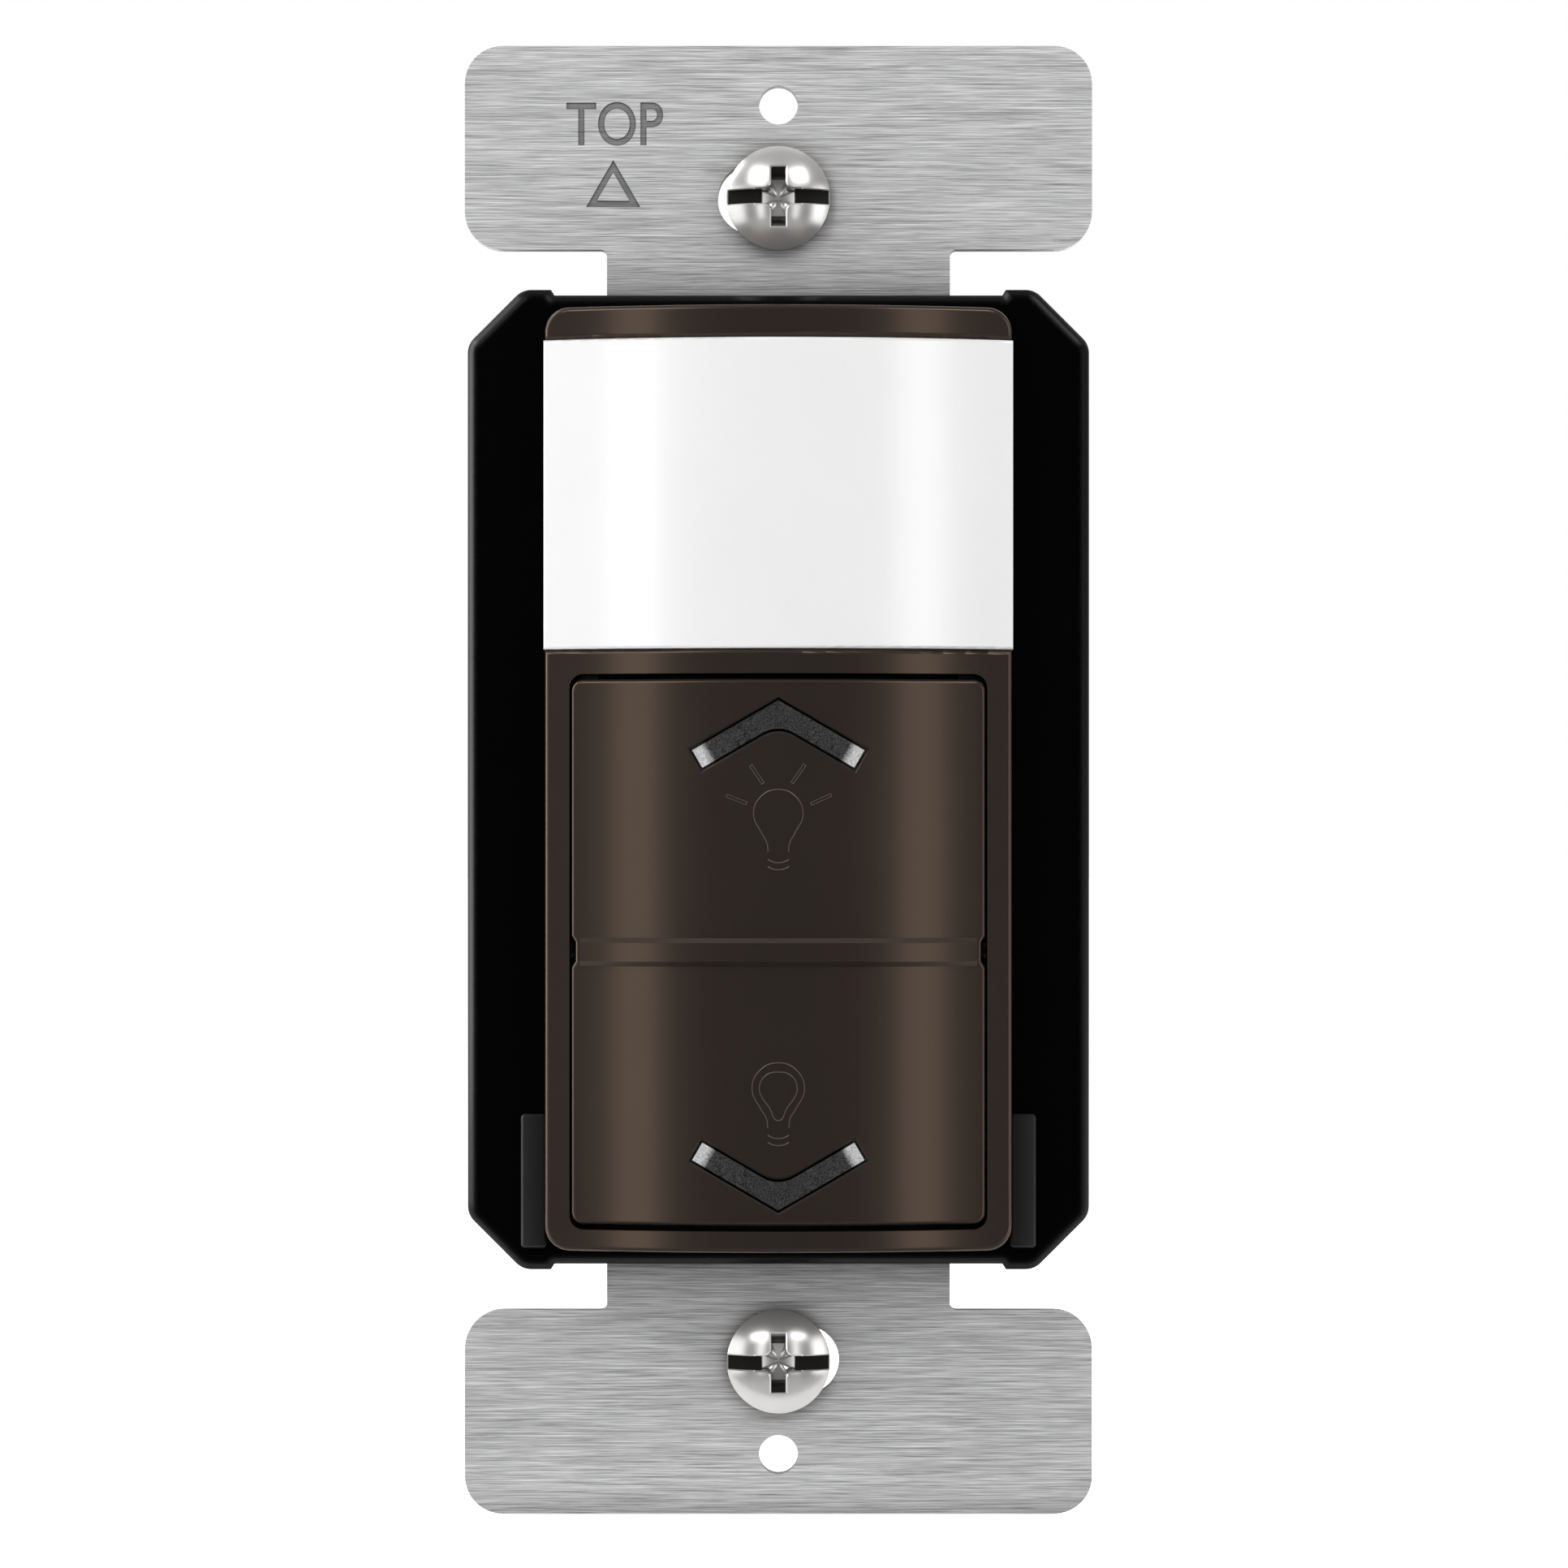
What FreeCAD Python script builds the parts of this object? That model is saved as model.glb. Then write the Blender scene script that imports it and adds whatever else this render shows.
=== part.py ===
import FreeCAD, Part
import math
import os
import re

import Sketcher
from FreeCAD import Rotation, Vector

# Wall mounted motion sensor dimmer switch. X runs right, Z up, and the face looks along -Y.
# The origin lies midway between the two box screws, on the back plane of the strap.
# A "depth" below is a distance forward of that plane, so it is -Y; parts behind it have a negative depth.

os.makedirs("parts", exist_ok=True)
doc = FreeCAD.newDocument("DimmerSwitch")
sizes = doc.addObject("Spreadsheet::Sheet", "Sizes")

DIMENSIONS = [
    # face: one crown across the width, shared by the bezel, the lens and the rocker
    ("cover_width", 44.4),
    ("wing_width", 5.7),
    ("rail_width", 1.75),
    ("top_band", 2.27),
    ("lens_zone", 21.9),
    ("mid_bar", 1.73),
    ("opening_height", 39.2),
    ("bottom_rail", 1.5),
    ("crown_depth", 10.4),
    ("crown_drop", 3.0),
    ("bezel_corner_round", 1.7),
    ("bezel_edge_round", 0.35),
    ("opening_round", 1.0),
    ("rail_seat_depth", 5.0),
    ("peg_radius", 0.55),
    ("peg_length", 1.2),
    ("peg_clearance", 0.05),
    ("peg_rise", 4.0),
    # front cover, the black flange round the face
    ("cover_front", 3.5),
    ("cover_margin", 1.7),
    ("cover_chamfer", 3.9),
    ("cover_corner_round", 1.5),
    ("cover_relief", 0.4),
    ("relief_inset", 0.5),
    ("relief_ramp", 0.25),
    ("cover_edge_bevel", 0.45),
    ("opening_margin", 0.15),
    ("opening_end_margin", 0.2),
    ("strap_clearance", 0.15),
    ("post_radius", 2.0),
    ("post_depth", 8.0),
    ("post_clearance", 0.3),
    ("pilot_radius", 0.95),
    ("pilot_end_wall", 0.6),
    # strap, stamped from steel sheet. By the standards of wall boxes and wallplates, the box
    # screws stand 83.34 apart and the plate holes 96.84, which these steps out from the cover give
    ("strap_thick", 1.5),
    ("screw_step", 6.67),
    ("plate_hole_step", 6.75),
    ("plate_hole_edge", 4.23),
    ("ear_inner_margin", 3.62),
    ("ear_overhang", 0.3),
    ("ear_round", 2.7),
    ("neck_width", 24.6),
    ("neck_round", 0.5),
    ("core_inset", 2.2),
    ("core_end_inset", 2.0),
    ("core_band", 7.0),
    ("core_end_band", 4.0),
    ("slot_width", 8.0),
    ("slot_shift", 0.35),
    ("slot_height", 5.0),
    ("plate_hole", 2.8),
    ("bend_inside", 0.5),
    ("heat_tab_width", 16.0),
    ("heat_tab_depth", 18.0),
    ("ground_tab_width", 8.6),
    ("ground_tab_depth", 11.0),
    # lens
    ("lens_overhang", 0.1),
    ("lens_proud", 0.15),
    ("lens_wall", 0.8),
    ("lens_gap", 0.03),
    ("lens_edge_round", 0.2),
    ("lens_leg_width", 5.0),
    ("lens_leg_thick", 0.8),
    ("lens_leg_gap", 0.1),
    # rocker
    ("rocker_side_gap", 0.15),
    ("rocker_end_gap", 0.4),
    ("rocker_back_depth", 3.2),
    ("rocker_skin", 1.6),
    ("rocker_side_wall", 1.2),
    ("rocker_end_wall", 0.9),
    ("rocker_round", 0.8),
    ("rocker_edge_round", 0.3),
    ("ridge_rise", 0.35),
    ("ridge_height", 2.0),
    ("ridge_bevel", 0.34),
    ("notch_depth", 0.28),
    ("notch_height", 1.3),
    ("notch_ramp", 0.45),
    ("pin_depth", 4.55),
    ("pin_radius", 1.0),
    ("pin_clearance", 0.05),
    ("pin_reach", 1.4),
    ("foot_to_guide", 3.6644),
    ("foot_width", 4.0),
    ("foot_thick", 1.2),
    ("foot_gap", 0.05),
    # chevron light guides
    ("chevron_half_span", 6.05),
    ("chevron_angle", 30.1),
    ("chevron_arm", 1.42),
    ("chevron_inner_round", 2.2),
    ("chevron_inset_top", 1.5),
    ("chevron_inset_bottom", 1.1),
    ("chevron_gap", 0.17),
    ("chevron_sunk", 0.08),
    ("chevron_bevel", 0.12),
    ("guide_margin", 0.55),
    ("guide_end_margin", 0.2),
    ("guide_plate_thick", 0.9),
    ("guide_plate_drop", 0.6),
    ("guide_leg", 2.0),
    ("guide_leg_end", 2.0),
    # latch blocks beside the bezel
    ("latch_width", 1.8),
    ("latch_height", 9.5),
    ("latch_rise", 0.6),
    ("latch_drop", 9.35),
    ("latch_gap", 0.05),
    ("latch_round", 0.25),
    ("latch_bevel", 0.15),
    ("latch_stem_width", 0.9),
    ("latch_stem_height", 6.0),
    # rear housing
    ("housing_inset", 1.0),
    ("housing_end_inset", 1.8),
    ("board_room", 4.2),
    ("housing_wall", 1.8),
    ("housing_round", 2.0),
    ("housing_bevel", 0.8),
    ("post_inset", 4.2),
    ("post_end_inset", 4.6),
    ("boss_radius", 3.0),
    ("case_hole_radius", 1.15),
    ("case_head_radius", 1.9),
    ("case_head_height", 1.4),
    ("case_slot_width", 0.7),
    ("case_seat_depth", 14.0),
    ("case_screw_radius", 0.9),
    ("case_screw_length", 12.5),
    ("head_clearance", 0.3),
    ("channel_pitch", 20.0),
    ("channel_height", 10.0),
    ("channel_depth", 3.9),
    ("channel_wall", 1.5),
    ("channel_start", 6.0),
    ("pillar_inset", 3.2),
    ("pillar_step", 7.1),
    ("pillar_radius", 2.0),
    ("shoulder_radius", 2.9),
    ("pillar_pilot_radius", 0.8),
    ("pillar_pilot_depth", 7.0),
    # terminals
    ("terminal_plate", 1.0),
    ("terminal_width", 9.2),
    ("terminal_front", 8.0),
    ("terminal_back", 18.4),
    ("terminal_screw_depth", 13.0),
    ("terminal_screw_radius", 1.75),
    ("terminal_head_radius", 3.8),
    ("terminal_head_height", 1.5),
    ("terminal_head_inset", 0.2),
    ("terminal_slot_depth", 0.8),
    ("terminal_slot_width", 1.0),
    ("terminal_cross_span", 4.0),
    ("ground_screw_depth", 6.0),
    ("lug_width", 3.0),
    ("lug_thick", 0.8),
    ("lug_inset", 3.2),
    # box screws
    ("thread_radius", 1.75),
    ("screw_neck_radius", 1.55),
    ("screw_neck_length", 1.2),
    ("screw_length", 25.0),
    ("screw_head_radius", 3.7),
    ("screw_head_rim", 0.45),
    ("screw_head_height", 2.3),
    ("screw_tip_bevel", 0.55),
    ("drive_slot", 1.0),
    ("drive_slot_depth", 1.1),
    ("cross_width", 1.06),
    ("cross_span", 4.0),
    ("cross_depth", 1.5),
    ("retainer_radius", 3.4),
    ("retainer_thick", 1.0),
    ("retainer_clearance", 0.05),
    # boards and what they carry
    ("board_thick", 1.6),
    ("board_gap", 0.4),
    ("front_board_depth", 3.0),
    ("front_board_end_gap", 0.7),
    ("power_board_depth", 22.4),
    ("power_board_end_gap", 1.0),
    ("board_screw_head", 1.7),
    ("board_screw_rise", 1.1),
    ("board_screw_radius", 0.75),
    ("board_screw_length", 6.0),
    ("board_hole_radius", 1.0),
    ("switch_size", 6.2),
    ("switch_height", 3.5),
    ("plunger_radius", 1.7),
    ("plunger_clearance", 0.05),
    ("plunger_bevel", 0.3),
    ("plunger_top", 2.0),
    ("plunger_travel", 0.45),
    ("plunger_length", 3.8),
    ("led_radius", 1.5),
    ("led_height", 3.4),
    ("led_bevel", 0.7),
    ("pir_radius", 4.1),
    ("pir_flange", 0.5),
    ("pir_height", 4.2),
    ("pir_window_width", 3.8),
    ("pir_window_height", 3.0),
    ("pir_window_depth", 0.4),
    ("shroud_inner", 5.4),
    ("shroud_wall", 0.8),
    ("shroud_height", 6.0),
    ("choke_radius", 5.0),
    ("choke_section", 2.0),
    ("choke_drop", 2.0),
    ("winding_wall", 0.7),
    ("winding_gap", 0.02),
    ("winding_angle", 290.0),
    ("capacitor_radius", 4.0),
    ("capacitor_length", 11.5),
    ("capacitor_groove_radius", 3.7),
    ("capacitor_groove_width", 0.7),
    ("capacitor_groove_rise", 1.2),
    ("film_width", 13.0),
    ("film_thick", 6.0),
    ("film_height", 11.0),
    ("film_round", 0.6),
    ("varistor_radius", 4.5),
    ("varistor_thick", 2.6),
    ("part_gap", 1.2),
    ("header_width", 15.2),
    ("header_thick", 2.5),
    ("header_pin", 0.64),
    ("header_edge", 0.6),
    ("header_pins", 6),
    ("transistor_width", 10.0),
    ("transistor_thick", 4.4),
    ("transistor_lead_length", 1.4),
    ("transistor_front", 5.5),
    ("transistor_hole_depth", 8.5),
    ("transistor_hole_radius", 1.7),
    ("transistor_tab_thick", 1.3),
    ("transistor_tab_length", 6.3),
    ("transistor_lead_pitch", 2.54),
    ("transistor_lead_width", 0.8),
    ("transistor_lead_thick", 0.5),
    ("transistor_screw_radius", 1.5),
    ("transistor_head_radius", 2.6),
    ("transistor_head_height", 1.6),
    ("pad_thick", 0.3),
    ("pad_margin", 0.3),
]

# Sizes that follow from the ones above.
DERIVED = {
    "bezel_width": "cover_width - 2 * wing_width",
    "bezel_height": "top_band + lens_zone + mid_bar + opening_height + bottom_rail",
    "opening_width": "bezel_width - 2 * rail_width",
    "crown_radius": "(bezel_width * bezel_width / 4 + crown_drop * crown_drop) / (2 * crown_drop)",
    "ear_width": "cover_width + 2 * ear_overhang",
    "cover_height": "bezel_height + 2 * cover_margin",
    "relief_width": "bezel_width - 2 * relief_inset",
    "cover_opening_width": "opening_width + 2 * opening_margin",
    "core_width": "cover_width - 2 * core_inset",
    "core_height": "cover_height - 2 * core_end_inset",
    "window_width": "core_width - 2 * core_band",
    "window_height": "core_height - 2 * core_end_band",
    "screw_spacing": "cover_height + 2 * screw_step",
    "plate_spacing": "screw_spacing + 2 * plate_hole_step",
    "strap_length": "plate_spacing + 2 * plate_hole_edge",
    "housing_width": "cover_width - 2 * housing_inset",
    "housing_height": "cover_height - 2 * housing_end_inset",
    "post_span_x": "housing_width - 2 * post_inset",
    "post_span_z": "housing_height - 2 * post_end_inset",
    "channel_floor": "housing_width / 2 - channel_depth",
    "board_width": "2 * (channel_floor - channel_wall - board_gap)",
    "pillar_span_x": "board_width - 2 * pillar_inset",
    "pillar_span_z": "post_span_z - 2 * pillar_step",
    "front_board_height": "window_height - 2 * front_board_end_gap",
    "power_board_height": "window_height - 2 * power_board_end_gap",
    "lug_x": "channel_floor - channel_wall - lug_inset",
    "terminal_reach": "cover_width / 2 - terminal_head_inset",
    "housing_depth": "power_board_depth + board_thick + board_room + housing_wall",
    "transistor_length": "power_board_depth - transistor_lead_length - transistor_front",
    "leg_fall": "crown_drop * opening_width * opening_width / (bezel_width * bezel_width)",
    "lens_leg_reach": "crown_depth + lens_proud - lens_wall / 4 - leg_fall - cover_front - lens_leg_gap",
    "rocker_half": "opening_width / 2 - rocker_side_gap",
    "rocker_height": "opening_height - 2 * rocker_end_gap",
    "guide_height": "chevron_half_span * tan(chevron_angle) + chevron_arm * cos(chevron_angle)"
                    " + 2 * guide_end_margin",
    "guide_plate_width": "2 * (chevron_half_span + guide_margin)",
    "foot_offset": "rocker_height / 2 - chevron_inset_top - guide_height + guide_end_margin / 2 - foot_to_guide",
}

for row, (alias, number) in enumerate(DIMENSIONS, start=1):
    sizes.set(f"A{row}", alias)
    sizes.set(f"B{row}", str(number))
    sizes.setAlias(f"B{row}", alias)
doc.recompute()

ALIAS = re.compile(r"\b(" + "|".join(alias for alias, _ in DIMENSIONS) + r")\b")
FOLLOWS = re.compile(r"\b(" + "|".join(DERIVED) + r")\b")

# Places that several pieces share, worked out from the sizes above.
STRAP_TOP = "(strap_length / 2)"
EAR_FOOT = "(screw_spacing / 2 - ear_inner_margin)"
CORE_TOP = "(core_height / 2)"
BEZEL_TOP = "(bezel_height / 2)"
LENS_TOP = "(bezel_height / 2 - top_band)"
LENS_FOOT = f"({LENS_TOP} - lens_zone)"
LENS_Z = f"({LENS_TOP} - lens_zone / 2)"
OPENING_TOP = f"({LENS_FOOT} - mid_bar)"
OPENING_FOOT = f"({OPENING_TOP} - opening_height)"
ROCKER_TOP = f"({OPENING_TOP} - rocker_end_gap)"
ROCKER_FOOT = f"({OPENING_FOOT} + rocker_end_gap)"
PIVOT_Z = f"({OPENING_TOP} - opening_height / 2)"
BOARD_SURFACE = "(0 - front_board_depth)"
POWER_SURFACE = "(0 - power_board_depth)"
CORNERS = [(side_x, side_z) for side_x in ("-", "+") for side_z in ("-", "+")]
LIVE_CHANNELS = [("+", "+"), ("+", "-"), ("-", "+")]


def sheet(text):
    """The same sum, written for an expression of the document."""
    text = str(text)
    while FOLLOWS.search(text):
        text = FOLLOWS.sub(lambda found: f"({DERIVED[found.group(1)]})", text)
    return ALIAS.sub(r"Sizes.\1", text)


def number_of(text):
    return float(sizes.evalExpression(sheet(text)))


def bind(item, field, text):
    item.setExpression(field, sheet(text))


def new_body(name):
    body = doc.addObject("PartDesign::Body", name)
    body.Label = name
    return body


def new_sketch(body, name, role, offset="0"):
    """A sketch on one of the body's own planes, offset along the plane's normal."""
    sketch = body.newObject("Sketcher::SketchObject", name)
    plane = next(item for item in body.Origin.OriginFeatures if item.Role == role)
    sketch.AttachmentSupport = [(plane, "")]
    sketch.MapMode = "FlatFace"
    bind(sketch, ".AttachmentOffset.Base.z", offset)
    return sketch


def fix(sketch, kind, places, text):
    """Adds one dimension to the sketch and ties it to the sizes."""
    index = sketch.addConstraint(Sketcher.Constraint(kind, *places, number_of(text)))
    bind(sketch, f"Constraints[{index}]", text)


def fix_point(sketch, geometry, end, x_text, y_text):
    fix(sketch, "DistanceX", (-1, 1, geometry, end), x_text)
    fix(sketch, "DistanceY", (-1, 1, geometry, end), y_text)


def outline(sketch, corners):
    """A closed outline. A corner is (x, y) where it is sharp, or (x, y, radius) where it is rounded."""
    points = [Vector(number_of(c[0]), number_of(c[1]), 0) for c in corners]
    count = len(corners)
    ends = []
    for i, corner in enumerate(corners):
        here = points[i]
        if len(corner) == 2:
            ends.append((here, here, None))
            continue
        back = (points[i - 1] - here).normalize()
        ahead = (points[(i + 1) % count] - here).normalize()
        radius = number_of(corner[2])
        half = back.getAngle(ahead) / 2
        reach = radius / math.tan(half)
        centre = here + (back + ahead).normalize() * (radius / math.sin(half))
        ends.append((here + back * reach, here + ahead * reach, (centre, radius)))
    first = sketch.GeometryCount
    for i in range(count):
        sketch.addGeometry(Part.LineSegment(ends[i][1], ends[(i + 1) % count][0]))
    for i, corner in enumerate(corners):
        before = first + (i - 1) % count
        after = first + i
        if ends[i][2] is None:
            sketch.addConstraint(Sketcher.Constraint("Coincident", before, 2, after, 1))
            fix_point(sketch, after, 1, corner[0], corner[1])
            continue
        centre, radius = ends[i][2]
        start, finish = ends[i][0], ends[i][1]
        turn = (start - centre).cross(finish - centre).z
        opening, closing = (start, finish) if turn > 0 else (finish, start)
        angles = [math.atan2((p - centre).y, (p - centre).x) for p in (opening, closing)]
        circle = Part.Circle(centre, Vector(0, 0, 1), radius)
        arc = sketch.addGeometry(Part.ArcOfCircle(circle, angles[0], angles[1]))
        arc_in, arc_out = (1, 2) if turn > 0 else (2, 1)
        sketch.addConstraint(Sketcher.Constraint("Tangent", before, 2, arc, arc_in))
        sketch.addConstraint(Sketcher.Constraint("Tangent", after, 1, arc, arc_out))
        fix(sketch, "Radius", (arc,), corner[2])
        # the sharp corner that the round is drawn from
        mark = sketch.addGeometry(Part.Point(points[i]), True)
        sketch.addConstraint(Sketcher.Constraint("PointOnObject", mark, 1, before))
        sketch.addConstraint(Sketcher.Constraint("PointOnObject", mark, 1, after))
        fix_point(sketch, mark, 1, corner[0], corner[1])


def box_outline(sketch, left, bottom, right, top, radius=None):
    corners = [(left, bottom), (right, bottom), (right, top), (left, top)]
    if radius is not None:
        corners = [corner + (radius,) for corner in corners]
    outline(sketch, corners)


def circle(sketch, x_text, y_text, radius):
    centre = Vector(number_of(x_text), number_of(y_text), 0)
    index = sketch.addGeometry(Part.Circle(centre, Vector(0, 0, 1), number_of(radius)))
    fix_point(sketch, index, 3, x_text, y_text)
    fix(sketch, "Radius", (index,), radius)


def crowned_outline(sketch, half_width, base, crown, radius):
    """On the XY plane: a straight base at one depth and the crown of the face at the other."""
    half, low = number_of(half_width), -number_of(base)
    centre = number_of(f"{radius} - {crown}")
    big = number_of(radius)
    rise = centre - math.sqrt(big * big - half * half)
    corners = [Vector(-half, rise, 0), Vector(half, rise, 0), Vector(half, low, 0), Vector(-half, low, 0)]
    lines = [sketch.addGeometry(Part.LineSegment(corners[i], corners[(i + 1) % 4])) for i in (1, 2, 3)]
    around = Part.Circle(Vector(0, centre, 0), Vector(0, 0, 1), big)
    angles = [math.atan2(c.y - centre, c.x) for c in (corners[0], corners[1])]
    arc = sketch.addGeometry(Part.ArcOfCircle(around, angles[0], angles[1]))
    joined = [(lines[0], 2, lines[1], 1), (lines[1], 2, lines[2], 1), (lines[2], 2, arc, 1), (arc, 2, lines[0], 1)]
    for pair in joined:
        sketch.addConstraint(Sketcher.Constraint("Coincident", *pair))
    sketch.addConstraint(Sketcher.Constraint("Vertical", lines[0]))
    sketch.addConstraint(Sketcher.Constraint("Vertical", lines[2]))
    fix_point(sketch, lines[1], 1, half_width, f"0 - ({base})")
    fix_point(sketch, lines[1], 2, f"0 - {half_width}", f"0 - ({base})")
    fix_point(sketch, arc, 3, "0", f"{radius} - {crown}")
    fix(sketch, "Radius", (arc,), radius)


def pad(body, sketch, length, name):
    feature = body.newObject("PartDesign::Pad", name)
    feature.Profile = sketch
    bind(feature, "Length", length)
    sketch.Visibility = False
    return feature


def pocket(body, sketch, length, name, backwards=False):
    feature = body.newObject("PartDesign::Pocket", name)
    feature.Profile = sketch
    feature.Reversed = backwards
    bind(feature, "Length", length)
    sketch.Visibility = False
    return feature


def turned(body, sketch, name):
    """A full turn of the sketch round its own vertical axis."""
    feature = body.newObject("PartDesign::Revolution", name)
    feature.Profile = sketch
    feature.ReferenceAxis = (sketch, ["V_Axis"])
    feature.Angle = 360
    sketch.Visibility = False
    return feature


def edges_where(feature, test):
    return [f"Edge{i}" for i, edge in enumerate(feature.Shape.Edges, start=1) if test(edge)]


def dress(body, kind, base, test, size, name):
    """A fillet or chamfer on the edges of the last feature that pass the test."""
    doc.recompute()
    feature = body.newObject(f"PartDesign::{kind}", name)
    feature.Base = (base, edges_where(base, test))
    bind(feature, "Radius" if kind == "Fillet" else "Size", size)
    return feature


def place(item, x="0", y="0", z="0"):
    for letter, text in zip("xyz", (x, y, z)):
        if text != "0":
            bind(item, f".Placement.Base.{letter}", text)


def block(name, left, right, back, front, low, high):
    """A plain block between two depths, the deeper one called back."""
    item = doc.addObject("Part::Box", name)
    bind(item, "Length", f"{right} - ({left})")
    bind(item, "Width", f"{front} - ({back})")
    bind(item, "Height", f"{high} - ({low})")
    place(item, left, f"0 - ({front})", low)
    return item


def rod(name, radius, x_text, z_text, back, front):
    """A round rod that runs along the depth."""
    item = doc.addObject("Part::Cylinder", name)
    item.Placement = FreeCAD.Placement(Vector(), Rotation(Vector(1, 0, 0), 90))
    bind(item, "Radius", radius)
    bind(item, "Height", f"{front} - ({back})")
    place(item, x_text, f"0 - ({back})", z_text)
    return item


def fused(name, pieces):
    item = doc.addObject("Part::MultiFuse", name)
    item.Shapes = pieces
    item.Label = name
    return item


def cut(name, base, tools):
    tool = tools[0]
    if len(tools) > 1:
        tool = doc.addObject("Part::MultiFuse", f"{name}_tools")
        tool.Shapes = tools
    item = doc.addObject("Part::Cut", name)
    item.Base = base
    item.Tool = tool
    item.Label = name
    return item


def mirrored_left(quarter):
    """The upper half of an outline, from its upper right quarter."""
    return quarter + [(f"0 - {corner[0]}",) + corner[1:] for corner in reversed(quarter)]


def mirrored_down(upper):
    """A whole outline, from its upper half."""
    return upper + [(corner[0], f"0 - {corner[1]}") + corner[2:] for corner in reversed(upper)]


def mounting_strap():
    """Blanked from one sheet: two ears on necks round a windowed core, with two tabs bent back."""
    body = new_body("mounting_strap")
    blank = new_sketch(body, "Blank", "XZ_Plane")
    half_ear, half_neck, half_core = "(ear_width / 2)", "(neck_width / 2)", "(core_width / 2)"
    quarter = [
        (half_core, CORE_TOP),
        (half_neck, CORE_TOP),
        (half_neck, EAR_FOOT, "neck_round"),
        (half_ear, EAR_FOOT, "ear_round"),
        (half_ear, STRAP_TOP, "ear_round"),
    ]
    outline(blank, mirrored_down(mirrored_left(quarter)))
    pad(body, blank, "strap_thick", "Sheet")

    openings = new_sketch(body, "Openings", "XZ_Plane", "strap_thick")
    half_window, half_height = "(window_width / 2)", "(window_height / 2)"
    half_tab = "(heat_tab_width / 2)"
    notch_top = f"({half_height} + strap_thick + bend_inside)"
    outline(openings, [
        (f"0 - {half_window}", f"0 - {half_height}"),
        (half_window, f"0 - {half_height}"),
        (half_window, half_height),
        (f"{half_tab} + strap_thick / 2", half_height),
        (f"{half_tab} + strap_thick / 2", notch_top),
        (f"0 - {half_tab} - strap_thick / 2", notch_top),
        (f"0 - {half_tab} - strap_thick / 2", half_height),
        (f"0 - {half_window}", half_height),
    ])
    for side_x, side_z in CORNERS:
        circle(openings, f"0 {side_x} post_span_x / 2", f"0 {side_z} post_span_z / 2",
               "post_radius + post_clearance")
    for side in ("-", "+"):
        circle(openings, "0", f"0 {side} plate_spacing / 2", "plate_hole / 2")
        middle = f"(0 {side} screw_spacing / 2)"
        # the two slots stand off centre towards opposite sides
        shift = "(0 - slot_shift)" if side == "+" else "slot_shift"
        box_outline(openings, f"{shift} - slot_width / 2", f"{middle} - slot_height / 2",
                    f"{shift} + slot_width / 2", f"{middle} + slot_height / 2", "slot_height / 2 - 0.05")
    pocket(body, openings, "strap_thick", "Punched")

    # the ground tab leaves the core's left edge, so the sheet gives way to its bend there
    bend = "(strap_thick + bend_inside)"
    relief = new_sketch(body, "GroundRelief", "XZ_Plane", "strap_thick")
    low = "(0 - channel_pitch / 2 - ground_tab_width / 2)"
    high = "(0 - channel_pitch / 2 + ground_tab_width / 2)"
    box_outline(relief, f"0 - {half_core} - 1", low, f"0 - {half_core} + {bend}", high)
    pocket(body, relief, "strap_thick", "GroundGap")

    # both tabs: a strip along the depth that turns into the sheet on a round bend
    heat = new_sketch(body, "HeatTabSide", "YZ_Plane", f"0 - {half_tab}")
    outline(heat, [
        ("0 - strap_thick", half_height, bend),
        ("0 - strap_thick", f"{notch_top} + bend_inside"),
        ("0", f"{notch_top} + bend_inside"),
        ("0", f"{half_height} + strap_thick", "bend_inside"),
        ("heat_tab_depth", f"{half_height} + strap_thick"),
        ("heat_tab_depth", half_height),
    ])
    pad(body, heat, "heat_tab_width", "HeatTab")

    ground = new_sketch(body, "GroundTabSide", "XY_Plane", low)
    edge = f"(0 - {half_core})"
    outline(ground, [
        (edge, "0 - strap_thick", bend),
        (edge, "ground_tab_depth"),
        (f"{edge} + strap_thick", "ground_tab_depth"),
        (f"{edge} + strap_thick", "0", "bend_inside"),
        (f"{edge} + {bend} + bend_inside", "0"),
        (f"{edge} + {bend} + bend_inside", "0 - strap_thick"),
    ])
    pad(body, ground, "ground_tab_width", "GroundTab")

    tapped = new_sketch(body, "GroundHole", "YZ_Plane", f"0 - {half_core} + strap_thick")
    circle(tapped, "ground_screw_depth", "0 - channel_pitch / 2", "terminal_screw_radius + 0.05")
    pocket(body, tapped, "strap_thick", "GroundTapping")

    heat_hole = new_sketch(body, "HeatHole", "XY_Plane", notch_top)
    circle(heat_hole, "0", "transistor_hole_depth", "transistor_screw_radius + peg_clearance")
    pocket(body, heat_hole, "strap_thick + bend_inside", "HeatTapping")
    return body


def cover_corners():
    """The flange's outline, with its cut corners and the shallow relief above and below the face."""
    half_width, half_height = "(cover_width / 2)", "(cover_height / 2)"
    start = "(cover_width / 2 - cover_chamfer)"
    ramp = "(relief_width / 2 + relief_ramp)"
    quarter = [
        (half_width, f"({half_height} - cover_chamfer)", "cover_corner_round"),
        (start, half_height, "cover_corner_round"),
        (ramp, half_height),
        ("(relief_width / 2)", f"({half_height} - cover_relief)"),
    ]
    return mirrored_down(mirrored_left(quarter))


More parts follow.
